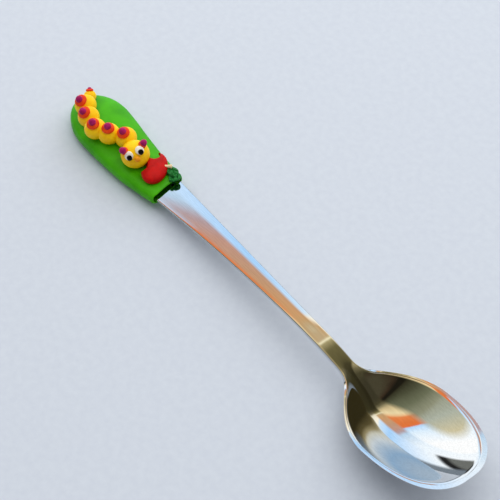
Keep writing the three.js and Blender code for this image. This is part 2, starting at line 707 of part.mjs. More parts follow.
function leafBlade(grow) {
  const end = LEAF_LENGTH / 2 - LEAF_POINT;
  const base = (-LEAF_LENGTH / 2) * (1 - BLUNT);
  const stations = [
    ...places(base, -LEAF_BELLY, CLAY_STEPS.leaf, easeFrom),
    ...places(-LEAF_BELLY, end, CLAY_STEPS.leaf, easeInto),
    end,
  ];
  return loft(stations.map((along) => Array.from({ length: PELLET_FINE[0] }, (_, side) => {
    const { across, rise } = section(side / PELLET_FINE[0], LEAF_SECTION);
    const stretch = grow * Math.sign(along);
    const y = across * (leafHalfWidth(along) + grow);
    return new THREE.Vector3(along + stretch, y, rise * (LEAF_THICKNESS / 2 + grow));
  })));
}

function groove(length, width, depth) {
  const rod = new THREE.CylinderGeometry(width / 2, width / 2, length, VEIN_SIDES);
  return rod.rotateZ(Math.PI / 2).translate(0, 0, (LEAF_THICKNESS + width) / 2 - depth);
}

function leafVeins() {
  const veins = [groove(LEAF_LENGTH - 2 * VEIN_MARGIN, VEIN_WIDTH, VEIN_DEPTH)];
  for (let pair = 0; pair < VEIN_PAIRS; pair += 1) {
    const root = (pair - (VEIN_PAIRS - 1) / 2) * VEIN_STEP - LEAF_BELLY;
    [1, -1].forEach((side) => {
      const vein = groove(LEAF_WIDTH / 2, SIDE_VEIN_WIDTH, SIDE_VEIN_DEPTH).translate(LEAF_WIDTH / 4, 0, 0);
      const start = root + (side * VEIN_STAGGER) / 2;
      veins.push(vein.rotateZ(side * degToRad(VEIN_HEADING)).translate(start, 0, 0));
    });
  }
  return veins;
}

function fruit() {
  const group = new THREE.Group();
  addPiece(group, "apple", cut(press(apple), BITES.map(bite)), RED_CLAY);
  addPiece(group, "apple_stalk", press(stalk), CREAM_CLAY);
  LEAVES.forEach((leaf) => {
    const blade = leafOn(leaf);
    addPiece(group, leaf.name, cut(press(blade), blade.veins()), LEAF_CLAY);
  });
  return group;
}

// The whole spoon, with its origin under the middle of its box

const spoon = new THREE.Group();
addPiece(spoon, "steel_spoon", steelSpoon(), STEEL);
addPiece(spoon, "handle_sleeve", cut(sleeve.shape(0), [tangPocket(), tableTop()]), GREEN_CLAY);
spoon.add(grub());
spoon.add(fruit());
const box = new THREE.Box3().setFromObject(spoon);
const middle = box.getCenter(new THREE.Vector3());
spoon.position.set(-middle.x, -middle.y, -box.min.z);

export default spoon;
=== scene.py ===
"""Looks of a polished spoon whose clay handle carries a grub, a bitten apple and two leaves."""

import logging
import math
from dataclasses import dataclass, field
from enum import Enum
from typing import Any, Callable, Iterable, Sequence

import bpy
import numpy as np
from bpy.types import Material, Node, NodeSocket, NodeTree, Object
from mathutils import Matrix, Quaternion, Vector


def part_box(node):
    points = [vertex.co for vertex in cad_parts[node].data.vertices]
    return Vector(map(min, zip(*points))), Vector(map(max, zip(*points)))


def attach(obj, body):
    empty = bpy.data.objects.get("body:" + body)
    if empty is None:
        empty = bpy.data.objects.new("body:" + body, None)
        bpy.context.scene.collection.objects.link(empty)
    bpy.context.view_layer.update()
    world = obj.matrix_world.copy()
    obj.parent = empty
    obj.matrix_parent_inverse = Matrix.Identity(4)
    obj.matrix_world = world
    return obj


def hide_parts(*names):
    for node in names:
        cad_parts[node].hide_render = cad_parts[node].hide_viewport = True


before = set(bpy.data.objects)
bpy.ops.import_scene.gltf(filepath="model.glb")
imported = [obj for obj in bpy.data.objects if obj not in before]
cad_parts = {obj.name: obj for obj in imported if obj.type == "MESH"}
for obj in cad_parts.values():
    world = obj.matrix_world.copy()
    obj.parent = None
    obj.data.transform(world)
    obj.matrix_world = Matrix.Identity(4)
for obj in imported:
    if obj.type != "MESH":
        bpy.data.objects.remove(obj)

LOG = logging.getLogger("spoon")
BODY = "root"  # nothing on the spoon moves, so every piece rides on its one body
MM = 0.001
UP = Vector((0, 0, 1))
MERGE = 2e-6  # points nearer than this become one, in metres
BOND = 0.01  # between pressed pieces, in millimetres
TINY = 1e-12  # keeps a length of 0 out of a division
# The sleeve's round end, from which all sizes along the spoon are measured
START = Vector((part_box("handle_sleeve")[0].x, 0, 0))


# Small sums


def share(value: Any, start: float, end: float) -> Any:
    """Where a value lies between two ends, from 0 to 1."""
    return np.clip((np.asarray(value, float) - start) / (end - start), 0, 1)


def lerp(start: Any, end: Any, step: Any) -> Any:
    """The value a share of the way from start to end."""
    return start + (end - start) * step


def ease(value: Any, start: float, end: float) -> Any:
    """Like share, but leaving both ends gently."""
    step = share(value, start, end)
    return step * step * (3 - 2 * step)


def superellipse(offset: Any, fullness: float) -> Any:
    """Height of a rounded arch at an offset from its middle; 2 is a circle, more is squarer."""
    return (1 - np.minimum(1, np.abs(offset)) ** fullness) ** (1 / fullness)


def unit(vectors: np.ndarray) -> np.ndarray:
    """The same directions with a length of 1."""
    return vectors / np.maximum(np.linalg.norm(vectors, axis=-1, keepdims=True), TINY)


def heading(degrees: float) -> Vector:
    """A level direction, in degrees from forwards."""
    return Vector((math.cos(math.radians(degrees)), math.sin(math.radians(degrees)), 0))


def in_metres(points: Any) -> np.ndarray:
    """Points of the spoon, in millimetres from its round end, as places in the frame."""
    return np.asarray(points, float) * MM + np.array(START)


def linear(code: str) -> tuple[float, float, float, float]:
    """An sRGB colour of six hex digits as linear red, green and blue, with an alpha of 1."""
    parts = [int(code[i:i + 2], 16) / 255 for i in (0, 2, 4)]
    return (*(p / 12.92 if p <= 0.04045 else ((p + 0.055) / 1.055) ** 2.4 for p in parts), 1.0)


# The bench


def deselect() -> None:
    """Leaves nothing selected."""
    bpy.ops.object.select_all(action="DESELECT")


class Workpiece:
    """A mesh on the bench: it starts as a primitive and ends as a piece of the spoon."""

    def __init__(self, name: str, body: Object) -> None:
        """Takes an object onto the bench.

        Args:
            name: what the piece is called.
            body: its object.
        """
        self.body = body
        body.name = name
        body.data.name = name

    @classmethod
    def primitive(cls, name: str, operator: Callable[..., Any], **settings: Any) -> "Workpiece":
        """Starts a piece from a primitive.

        Args:
            name: what the piece is called.
            operator: the bpy.ops call that adds it.
            settings: the call's settings.

        Returns:
            The new piece.
        """
        deselect()
        operator(**settings)
        return cls(name, bpy.context.object)

    @classmethod
    def loft(cls, name: str, rings: np.ndarray) -> "Workpiece":
        """Rolls a grid into a skin over closed rings, and closes its ends.

        Args:
            name: what the piece is called.
            rings: points in millimetres, ring by ring.

        Returns:
            The closed piece.
        """
        rows, columns = rings.shape[:2]
        grid = cls.primitive(name, bpy.ops.mesh.primitive_grid_add, x_subdivisions=columns,
                             y_subdivisions=rows - 1, size=2)
        flat = grid.points
        column = np.rint((flat[:, 0] + 1) / 2 * columns).astype(int) % columns
        row = np.rint((flat[:, 1] + 1) / 2 * (rows - 1)).astype(int)
        grid.points = in_metres(rings[row, column])
        grid.edit(
            lambda: bpy.ops.mesh.remove_doubles(threshold=MERGE),
            lambda: bpy.ops.mesh.fill_holes(sides=0),
            lambda: bpy.ops.mesh.select_all(action="SELECT"),
            lambda: bpy.ops.mesh.normals_make_consistent(inside=False),
        )
        return grid

    @property
    def points(self) -> np.ndarray:
        """The places of its vertices, in metres."""
        flat = np.zeros(len(self.body.data.vertices) * 3)
        self.body.data.vertices.foreach_get("co", flat)
        return flat.reshape(-1, 3)

    @points.setter
    def points(self, places: np.ndarray) -> None:
        """Puts its vertices at new places, in metres."""
        self.body.data.vertices.foreach_set("co", np.ascontiguousarray(places, float).ravel())
        self.body.data.update()

    def take(self) -> None:
        """Makes it the one selected piece."""
        deselect()
        self.body.select_set(True)
        bpy.context.view_layer.objects.active = self.body

    def copy(self, name: str) -> "Workpiece":
        """A copy with a mesh of its own.

        Args:
            name: what the copy is called.

        Returns:
            The copy.
        """
        self.take()
        bpy.ops.object.duplicate(linked=False)
        return Workpiece(name, bpy.context.object)

    def place(self, at: Vector, turn: Quaternion, size: Sequence[float]) -> None:
        """Sizes, turns and moves it, all in its mesh.

        Args:
            at: where its middle goes, in millimetres from the round end.
            turn: how it is turned.
            size: its scale along its own three axes, in millimetres.
        """
        self.body.matrix_world = Matrix.LocRotScale(at * MM + START, turn, Vector(size) * MM)
        self.take()
        bpy.ops.object.transform_apply(location=True, rotation=True, scale=True)

    def edit(self, *steps: Callable[[], Any]) -> None:
        """Runs operators on all of its mesh in edit mode.

        Args:
            steps: the calls to make, in order.
        """
        self.take()
        bpy.ops.object.mode_set(mode="EDIT")
        bpy.ops.mesh.select_all(action="SELECT")
        for step in steps:
            step()
        bpy.ops.object.mode_set(mode="OBJECT")

    def slice(self, at: Vector, away: Vector) -> None:
        """Cuts it off flat at a point in metres, drops what lies away from it, and closes the cut."""
        self.edit(lambda: bpy.ops.mesh.bisect(plane_co=at, plane_no=away, use_fill=True, clear_outer=True,
                                              threshold=MERGE))

    def modify(self, kind: str, **settings: Any) -> None:
        """Adds a modifier and applies it.

        Args:
            kind: the modifier's type.
            settings: its settings.
        """
        modifier = self.body.modifiers.new(kind.lower(), kind)
        for name, value in settings.items():
            setattr(modifier, name, value)
        self.take()
        bpy.ops.object.modifier_apply(modifier=modifier.name)

    def roughen(self, depth: float, grain: float) -> None:
        """Gives it the slight unevenness of clay shaped by hand.

        Args:
            depth: from the deepest hollow to the highest swelling, in millimetres.
            grain: width of a swelling, in millimetres.
        """
        unevenness = bpy.data.textures.new(f"{self.body.name}_unevenness", "CLOUDS")
        unevenness.noise_scale = grain * MM
        unevenness.noise_depth = 1
        self.modify("DISPLACE", texture=unevenness, strength=depth * MM, texture_coords="LOCAL")

    def seat(self, carriers: Iterable["Workpiece"]) -> None:
        """Presses it against the pieces that carry it, so that no part is left inside them."""
        for carrier in carriers:
            self.modify("SHRINKWRAP", target=carrier.body, wrap_method="NEAREST_SURFACEPOINT",
                        wrap_mode="OUTSIDE", offset=BOND * MM)

    def cut(self, tools: Iterable["Workpiece"]) -> None:
        """Takes tools away from it, and clears them from the bench.

        Args:
            tools: closed pieces to cut with.
        """
        for tool in tools:
            self.modify("BOOLEAN", object=tool.body, operation="DIFFERENCE", solver="EXACT")
            bpy.data.objects.remove(tool.body)

    def settle(self, node: str, finish: "Finish", crease: float = 40) -> None:
        """Dresses it and puts it in the place of its solid.

        Args:
            node: the solid that it stands for.
            finish: what it is made of.
            crease: edges sharper than this stay sharp, in degrees.
        """
        self.take()
        bpy.ops.object.shade_smooth_by_angle(angle=math.radians(crease))
        self.body.data.materials.clear()
        self.body.data.materials.append(finish.material())
        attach(self.body, BODY)
        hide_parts(node)
        LOG.info("%s: %d faces of %s", self.body.name, len(self.body.data.polygons), finish.slot)


# Finishes


def add_node(tree: NodeTree, kind: str, inputs: dict[Any, Any] | None = None, **settings: Any) -> Node:
    """Adds one node with its settings, values and links.

    Args:
        tree: where it goes.
        kind: the node's type name, after the words that all of them start with.
        inputs: a value or another node's output for each named or numbered input.
        settings: the node's own properties.

    Returns:
        The node.
    """
    node = tree.nodes.new(f"ShaderNode{kind}")
    for name, value in settings.items():
        setattr(node, name, value)
    for name, value in (inputs or {}).items():
        if isinstance(value, NodeSocket):
            tree.links.new(value, node.inputs[name])
        else:
            node.inputs[name].default_value = value
    return node


# Places from 0 to 1 along a colour ramp, each with its sRGB hex colour, in order
Stops = Sequence[tuple[float, str]]


def set_ramp(node: Node, stops: Stops) -> None:
    """Sets the colours of a colour ramp; one stop alone makes it plain.

    Args:
        node: the ramp.
        stops: its colours.
    """
    elements = node.color_ramp.elements
    while len(elements) < len(stops):
        elements.new(0.5)
    while len(elements) > len(stops):
        elements.remove(elements[-1])
    for element, (place, code) in zip(elements, stops):
        element.position = place
        element.color = linear(code)


@dataclass(frozen=True)
class Span:
    """Two values that a map range node reads between, and what it gives at each."""

    start: float
    end: float
    low: float = 0.0
    high: float = 1.0

    def of(self, value: NodeSocket) -> dict[str, Any]:
        """The node's inputs for the value that it reads."""
        return {"Value": value, "From Min": self.start, "From Max": self.end,
                "To Min": self.low, "To Max": self.high}


class Finish:
    """What a piece is made of. Each kind builds its own nodes once."""

    slot: str
    name: str

    def material(self) -> Material:
        """The finish's material, made the first time that it is asked for.

        Returns:
            The material.
        """
        made = bpy.data.materials.get(self.name)
        if made is None:
            made = bpy.data.materials.new(self.name)
            made.use_nodes = True
            made.node_tree.nodes.clear()
            shader = add_node(made.node_tree, "BsdfPrincipled")
            add_node(made.node_tree, "OutputMaterial", {"Surface": shader.outputs[0]})
            self.dress(made.node_tree, shader)
        return made

    def dress(self, tree: NodeTree, shader: Node) -> None:
        """Adds what makes this finish its own to a material's nodes and surface shader."""
        raise NotImplementedError


@dataclass(frozen=True)
class BakedClay(Finish):
    """Polymer clay, rolled between the fingers and baked.

    It is a soft satin plastic: its colour drifts a little where two batches were kneaded together, its gloss
    is broken by a fine matt grain, and finger ridges show faintly where the light grazes it.
    """

    slot: str
    pale: str
    deep: str
    satin: float = 0.43
    satin_drift: float = 0.07  # how far the grain takes the roughness to each side
    sheen: float = 0.17  # the matt grain swallows most of the gloss
    drift: float = 3.0  # millimetres between a pale and a deep place
    kneaded: tuple[float, float] = (0.36, 0.62)  # where the drift is all deep and all pale
    touched: Span = Span(0.5, 0.68)  # where it shows the print of a finger
    ridge: float = 0.5  # spacing of finger ridges, in millimetres
    grain: float = 0.3  # the real grain of 0.05 mm is too fine to show, so it is drawn coarser
    grained: tuple[float, float] = (0.3, 0.7)  # where the grain is all gloss and all matt
    relief: float = 0.02  # height of ridges and grain, in millimetres
    relief_strength: float = 0.35

    @property
    def name(self) -> str:
        """What the material is called."""
        return f"baked_{self.slot}"

    def dress(self, tree: NodeTree, shader: Node) -> None:
        """Adds the clay's drift of colour, broken gloss and finger ridges.

        Args:
            tree: the material's nodes.
            shader: its surface shader.
        """
        place = add_node(tree, "TexCoord").outputs["Object"]
        cloud = add_node(tree, "TexNoise",
                         {"Vector": place, "Scale": 1 / (self.drift * MM), "Detail": 3.0}).outputs[0]
        grain = add_node(tree, "TexNoise",
                         {"Vector": place, "Scale": 1 / (self.grain * MM), "Detail": 2.0}).outputs[0]
        blend = add_node(tree, "ValToRGB", {"Fac": cloud})
        set_ramp(blend, tuple(zip(self.kneaded, (self.deep, self.pale))))
        broken = Span(*self.grained, self.satin - self.satin_drift, self.satin + self.satin_drift)
        gloss = add_node(tree, "MapRange", broken.of(grain))
        # The wave texture's bands are a twentieth of a turn apart at a scale of 1
        wave = {"Vector": place, "Scale": math.tau / 20 / (self.ridge * MM), "Distortion": 9.0, "Detail": 1.0,
                "Detail Scale": 0.15}
        ridges = add_node(tree, "TexWave", wave, wave_type="RINGS").outputs[1]
        touched = add_node(tree, "MapRange", self.touched.of(cloud)).outputs[0]
        prints = add_node(tree, "Math", {0: ridges, 1: touched}, operation="MULTIPLY").outputs[0]
        relief = add_node(tree, "Math", {0: prints, 1: grain}, operation="ADD").outputs[0]
        bump = add_node(tree, "Bump", {"Height": relief, "Strength": self.relief_strength,
                                       "Distance": self.relief * MM})
        for node, name in ((blend, "Base Color"), (gloss, "Roughness"), (bump, "Normal")):
            tree.links.new(node.outputs[0], shader.inputs[name])
        shader.inputs["IOR"].default_value = 1.5
        shader.inputs["Specular IOR Level"].default_value = self.sheen


@dataclass(frozen=True)
class MirrorSteel(Finish):
    """Stainless steel, stamped and then buffed along its length to a mirror.

    The eye sees the room in it. Buffing leaves hairlines that only soften the edges of what it mirrors.
    """

    slot: str
    bright: str = "d4d5d5"
    dull: str = "cbcccc"
    marked: tuple[float, float] = (0.35, 0.65)  # where the marks are all dull and all bright
    hairline: float = 0.25  # real hairlines are about 0.02 mm apart, too fine to show, so these are coarser
    stroke: float = 9.0  # length of a buffing mark, in millimetres
    polish: Span = Span(0.35, 0.75, 0.03, 0.06)  # roughness between the marks and in them
    name: str = "buffed_stainless_steel"

    def dress(self, tree: NodeTree, shader: Node) -> None:
        """Adds the buffing marks.

        Args:
            tree: the material's nodes.
            shader: its surface shader.
        """
        place = add_node(tree, "TexCoord").outputs["Object"]
        along, across = 1 / (self.stroke * MM), 1 / (self.hairline * MM)
        drawn = add_node(tree, "Mapping", {"Vector": place, "Scale": (along, across, across)}).outputs[0]
        marks = add_node(tree, "TexNoise", {"Vector": drawn, "Scale": 1.0, "Detail": 2.0}).outputs[0]
        gloss = add_node(tree, "MapRange", self.polish.of(marks))
        tint = add_node(tree, "ValToRGB", {"Fac": marks})
        set_ramp(tint, tuple(zip(self.marked, (self.dull, self.bright))))
        for node, name in ((tint, "Base Color"), (gloss, "Roughness")):
            tree.links.new(node.outputs[0], shader.inputs[name])
        shader.inputs["Metallic"].default_value = 1.0


@dataclass(frozen=True)
class PaleLaminate(Finish):
    """The table's melamine laminate, pressed matt, with a faint mottle that the eye takes for paper."""

    slot: str = ""  # the table is no part of the spoon
    pale: str = "ced4dc"
    deep: str = "c9cfd8"
    mottled: tuple[float, float] = (0.3, 0.7)  # where the mottle is all deep and all pale
    mottle: float = 2.0  # width of a fleck, in millimetres
    matt: float = 0.8
    name: str = "pale_laminate"

    def dress(self, tree: NodeTree, shader: Node) -> None:
        """Adds the mottle.

        Args:
            tree: the material's nodes.
            shader: its surface shader.
        """
        place = add_node(tree, "TexCoord").outputs["Object"]
        fleck = add_node(tree, "TexNoise", {"Vector": place, "Scale": 1 / (self.mottle * MM), "Detail": 3.0})
        colour = add_node(tree, "ValToRGB", {"Fac": fleck.outputs[0]})
        set_ramp(colour, tuple(zip(self.mottled, (self.deep, self.pale))))
        tree.links.new(colour.outputs[0], shader.inputs["Base Color"])
        shader.inputs["Roughness"].default_value = self.matt


class Clay(Enum):
    """The clays of the handle and its figures."""

    GREEN = BakedClay("green_clay", pale="48b002", deep="3c9d00", drift=6.0)
    YELLOW = BakedClay("yellow_clay", pale="ffd00e", deep="f9c206")
    ORANGE = BakedClay("orange_clay", pale="f04e14", deep="e03c0c", drift=1.5)
    PURPLE = BakedClay("purple_clay", pale="b01c68", deep="9a1254", drift=1.2)
    WHITE = BakedClay("white_clay", pale="f5eddd", deep="e9dfcc", drift=1.2)
    BLACK = BakedClay("black_clay", pale="110f0f", deep="080707", satin=0.3, drift=1.2)
    AMBER = BakedClay("amber_clay", pale="f7a01e", deep="ee8f12", drift=1.2)
    RED = BakedClay("red_clay", pale="c60803", deep="ad0502", drift=2.5)
    CREAM = BakedClay("cream_clay", pale="f6d9ae", deep="edcb98", drift=1.2)
    LEAF = BakedClay("leaf_clay", pale="277d36", deep="1d6529", drift=1.5)


STEEL = MirrorSteel("polished_steel")
LAMINATE = PaleLaminate()


# The steel


@dataclass
class SteelSpoon:
    """One stamped blank: a tang inside the sleeve, a slim stem, a crest, a neck and a bowl.

    Sizes are in millimetres.
    """

    mouth: float = 43.4  # where the stem leaves the sleeve
    tang_inset: float = 5.0
    tang_round: float = 5.0
    stem_length: float = 66.7
    neck_length: float = 11.4
    bowl_heel: float = 20.9
    bowl_toe: float = 21.7
    tang_width: float = 10.4
    stem_width: float = 9.57
    neck_width: float = 4.65
    bowl_width: float = 27.7
    stem_waist: float = 1.68
    heel_curve: float = 2.2
    toe_fullness: float = 2.36
    tang_height: float = 2.75
    tang_lift: float = 0.83
    tang_bend: float = 14.2
    crest_rise: float = 0.77
    heel_drop: float = 2.18
    tip_rise: float = 3.75
    rim_slope: float = 0.2
    bowl_depth: float = 8.7
    bowl_set_back: float = 11.0
    dish_start: float = 5.0
    floor_curve: float = 1.7
    flare: float = 0.28  # how far the bowl opens out towards its rim
    stem_crown: float = 0.11  # height of the stem's rounded top, as a share of its half width
    crown_end: float = 8.0
    tang_gauge: float = 1.0
    neck_gauge: float = 1.52
    bowl_gauge: float = 1.1
    rim_gauge: float = 0.36  # the rim is pressed thinner than the bowl
    rim_power: int = 4  # how late across the bowl that thinning comes
    buffing: float = 0.11  # radius left on the rim by the buffing wheel
    stem_buffing: float = 0.52  # and on the stem's edges
    buffing_change: tuple[float, float] = (3.0, 6.0)  # so far before and after the heel they run together
    buffing_share: float = 0.45  # most of an edge's height that a radius takes
    land_lean: tuple[float, float] = (0.14, 0.42)  # slope of the rim's land into the bowl, at sides and toe
    land_slopes: tuple[float, float] = (0.2, 0.6)  # steepness of a wall at which its land starts and is whole
    land_toe: float = 0.6  # the rim faces this much forwards where the toe's slope starts
    land_start: float = 6.0  # length of rim over which its land opens
    blend: float = 1.1  # length over which one form runs into the next
    heel_blend: float = 2.2  # and over which the outline opens into the bowl
    heel_reach: tuple[float, float] = (8.0, 6.0)  # so far before the crest and after the heel
    sampling: float = 0.05  # spacing of the points that are blended
    strips: int = 44
    fillet: int = 6
    loop_inset: float = 1.1  # loops that hold a rounding's shape lie this many radii from the corner
    skin_inset: float = 1.15  # and the smooth skin ends this many from it
    skin_least: float = 0.2  # share of the half width that the skin keeps
    middle_least: float = 0.1  # and that the sheet's middle keeps beside its land
    end_start: float = 0.01  # the tang's round end starts this wide
    least: float = 1e-6  # a shorter length counts as none
    steps: tuple[int, ...] = (8, 12, 44, 26, 44, 56)  # tang's end, tang, stem, neck, heel, toe
    piece: Workpiece = field(init=False)

    def __post_init__(self) -> None:
        """Works out the places along the spoon."""
        self.crest = self.mouth + self.stem_length
        self.heel = self.crest + self.neck_length
        self.widest = self.heel + self.bowl_heel
        self.tip = self.widest + self.bowl_toe
        self.deepest = self.widest - self.bowl_set_back
        self.dish = self.crest + self.dish_start
        self.mouth_height = self.tang_height + self.tang_lift
        self.floor_height = self.bowl_gauge / 2
        self.rim_height = self.floor_height + self.bowl_depth
        self.heel_height = self.rim_height - self.heel_drop
        self.crest_height = self.heel_height + self.crest_rise
        self.along = np.arange(0, self.tip + self.sampling / 2, self.sampling)
        self.edge_line = self.blended(self.edge_height(self.along))
        hollow = self.blended(self.hollow(self.along))
        sunk = self.floor_height - (self.edge_line - hollow).min()
        self.hollow_line = hollow * (1 - sunk / hollow.max())
        self.gauge_line = self.blended(self.gauge(self.along))
        before, after = self.heel_reach
        opening = ease(self.along, self.crest - before, self.crest)
        near_heel = opening * (1 - ease(self.along, self.heel + after, self.widest))
        outline = self.half_width(self.along)
        self.outline = lerp(outline, self.blended(outline, self.heel_blend), near_heel)

    def blended(self, line: np.ndarray, over: float | None = None) -> np.ndarray:
        """Runs the parts of a line smoothly into each other, with its ends kept.

        Args:
            line: values along the spoon.
            over: length that is blended, or the usual one.

        Returns:
            The smooth line.
        """
        spacing = self.along[1] - self.along[0]
        over = over or self.blend
        # A bell of this spread is as good as over at four spreads
        reach = int(4 * over / spacing)
        kernel = np.exp(-0.5 * (np.arange(-reach, reach + 1) * spacing / over) ** 2)
        before = 2 * line[0] - line[reach:0:-1]
        after = 2 * line[-1] - line[-2:-reach - 2:-1]
        return np.convolve(np.concatenate([before, line, after]), kernel / kernel.sum(), mode="valid")

    def half_width(self, x: np.ndarray) -> np.ndarray:
        """Half the blank's width at places along it."""
        tang = lerp(self.tang_width, self.stem_width, share(x, self.tang_inset, self.mouth)) / 2
        tang = tang * superellipse(1 - share(x, self.tang_inset, self.tang_inset + self.tang_round), 2)
        waist = (1 - share(x, self.mouth, self.crest)) ** self.stem_waist
        stem = lerp(self.neck_width, self.stem_width, waist) / 2
        back = 1 - share(x, self.heel, self.widest)
        heel = np.hypot(self.neck_width / 2 * back, self.bowl_width / 2 * (1 - back ** self.heel_curve))
        toe = self.bowl_width / 2 * superellipse((x - self.widest) / self.bowl_toe, self.toe_fullness)
        return np.select([x < self.mouth, x < self.crest, x > self.widest], [tang, stem, toe], heel)

    def rim(self, x: np.ndarray) -> np.ndarray:
        """Height of the bowl's rim."""
        offset = x - self.widest
        end = np.where(offset < 0, -self.bowl_heel, self.bowl_toe)
        sweep = np.where(offset < 0, -self.heel_drop, self.tip_rise) - self.rim_slope * end
        return self.rim_height + self.rim_slope * offset + sweep * (offset / end) ** 2

    def edge_height(self, x: np.ndarray) -> np.ndarray:
        """Height of the blank's edges above the table."""
        tang = self.tang_height + self.tang_lift * share(x, self.mouth - self.tang_bend, self.mouth) ** 2
        mouth_slope = 2 * self.tang_lift / self.tang_bend
        stem_slope = (self.crest_height - self.mouth_height) / self.stem_length
        out = x - self.mouth
        bend = (stem_slope - mouth_slope) * out ** 2 / self.stem_length
        stem = self.mouth_height + mouth_slope * out + bend
        step = share(x, self.crest, self.heel)
        heel_slope = 2 * self.heel_drop / self.bowl_heel - self.rim_slope
        leaving = (2 * stem_slope - mouth_slope) * self.neck_length * step * (1 - step) ** 2
        arriving = heel_slope * self.neck_length * step ** 2 * (1 - step)
        neck = lerp(self.crest_height, self.heel_height, ease(step, 0, 1)) + leaving - arriving
        return np.select([x < self.mouth, x < self.crest, x < self.heel], [tang, stem, neck], self.rim(x))

    def hollow(self, x: np.ndarray) -> np.ndarray:
        """Depth of the middle line below the edges, negative where the stem is crowned."""
        crown = ease(x, self.tang_inset, self.mouth) * (1 - ease(x, self.crest - self.crown_end, self.crest))
        crown = -self.stem_crown * self.half_width(x) * crown
        fall = 1 - share(x, self.deepest, self.tip) ** self.floor_curve
        sink = share(x, self.dish, self.deepest)
        # The dish starts very gently and arrives level at its deepest place
        dish = np.where(x < self.deepest, sink ** 4 * (5 - 4 * sink), fall)
        return np.where(x < self.crest, crown, (self.edge_height(x) - self.floor_height) * dish)

    def gauge(self, x: np.ndarray) -> np.ndarray:
        """Thickness of the steel."""
        stem = lerp(self.tang_gauge, self.neck_gauge, ease(x, self.mouth, self.crest))
        bowl = lerp(self.neck_gauge, self.bowl_gauge, ease(x, self.crest, self.deepest))
        return np.where(x < self.crest, stem, bowl)

    def thickness(self, x: np.ndarray, across: Any) -> np.ndarray:
        """Thickness of the smooth sheet, thinner towards the bowl's rim."""
        rim = ease(x, self.heel, self.heel + self.land_start) * np.abs(across) ** self.rim_power
        return lerp(self.at(self.gauge_line, x), self.rim_gauge, rim)

    def at(self, line: np.ndarray, x: Any) -> np.ndarray:
        """A smooth line's values at places along the spoon."""
        return np.interp(x, self.along, line)

    def has_land(self, slope: np.ndarray, x: np.ndarray) -> np.ndarray:
        """How much of a land the rim has where its wall slopes, from 0 to 1."""
        return ease(slope, *self.land_slopes) * ease(x, self.heel, self.heel + self.land_start)

    def middle_width(self, x: np.ndarray) -> np.ndarray:
        """Half width of the sheet's middle, which leaves room for the land along its edge.

        Args:
            x: places along the spoon.

        Returns:
            The half widths.
        """
        outline = self.at(self.outline, x)
        lean = np.sin(np.arctan2(2 * (1 - self.flare) * self.at(self.hollow_line, x), outline))
        level = self.has_land(lean, x)
        steep = np.maximum(np.abs(lean), self.land_slopes[1])
        room = self.thickness(x, 1) / 2 * lerp(np.abs(lean), 1 / steep, level)
        return np.maximum(outline - room, outline * self.middle_least)

    def sheet(self, across: np.ndarray) -> np.ndarray:
        """Points of the sheet's middle, in rows across it that swing round the toe like a fan.

        Args:
            across: places across the sheet, from -1 to 1, for each row.

        Returns:
            The points, row by row.
        """
        x = np.repeat(self.rows()[:, None], across.shape[1], axis=1)
        side = self.middle_width(x)
        y = across * side
        widest = float(self.middle_width(np.array([self.widest]))[0])
        toe = self.bowl_toe - (self.bowl_width / 2 - widest)
        angle = np.repeat(self.fan()[:, None], across.shape[1], axis=1)
        fan = slice(-len(angle), None)
        out = np.abs(across[fan])
        power = self.toe_fullness
        reach = (np.abs(np.cos(angle)) ** power + np.abs(np.sin(angle)) ** power) ** (-1 / power)
        fan_x = toe * out * reach * np.cos(angle)
        x[fan] = self.widest + fan_x * self.bowl_toe / toe
        y[fan] = np.sign(across[fan]) * widest * out * reach * np.sin(angle)
        side[fan] = widest * superellipse(fan_x / toe, power)
        ratio = np.where(side > self.least, np.abs(y) / np.maximum(side, self.least), 1)
        ratio = np.where(np.abs(across) == 1, 1, np.minimum(ratio, 1))
        section = (1 - ratio ** 2) * (1 - self.flare * ratio ** 2)
        z = self.at(self.edge_line, x) - self.at(self.hollow_line, x) * section
        x[fan] = self.widest + fan_x
        return np.stack([x, y, z], axis=-1)

    def rows(self) -> np.ndarray:
        """Places of the rows along the spoon; those of the fan all start from the widest place."""
        stops = (self.tang_inset + self.end_start, self.tang_inset + self.tang_round, self.mouth, self.crest,
                 self.heel, self.widest)
        parts = [np.linspace(a, b, n, endpoint=False) for a, b, n in zip(stops, stops[1:], self.steps)]
        turned = (parts[0] - stops[0]) / self.tang_round
        parts[0] = stops[0] + self.tang_round * (1 - np.cos(turned * np.pi / 2))
        return np.concatenate([*parts, np.full(self.steps[-1] + 1, self.widest)])

    def fan(self) -> np.ndarray:
        """Angles of the fan's rows from straight ahead, in radians."""
        return np.linspace(np.pi / 2, 0, self.steps[-1] + 1)

    def upwards(self, sheet: np.ndarray) -> np.ndarray:
        """The sheet's upward directions.

        Args:
            sheet: its points, row by row.

        Returns:
            A direction for each point.
        """
        normal = unit(np.cross(np.gradient(sheet, axis=0), np.gradient(sheet, axis=1)))
        middle = sheet.shape[1] // 2
        pivot = slice(-len(self.fan()), None)
        beside = normal[pivot, middle - 1] + normal[pivot, middle + 1]
        normal[pivot, middle] = unit(beside.sum(axis=0))
        normal[-1, :, 1] = 0
        return unit(normal)

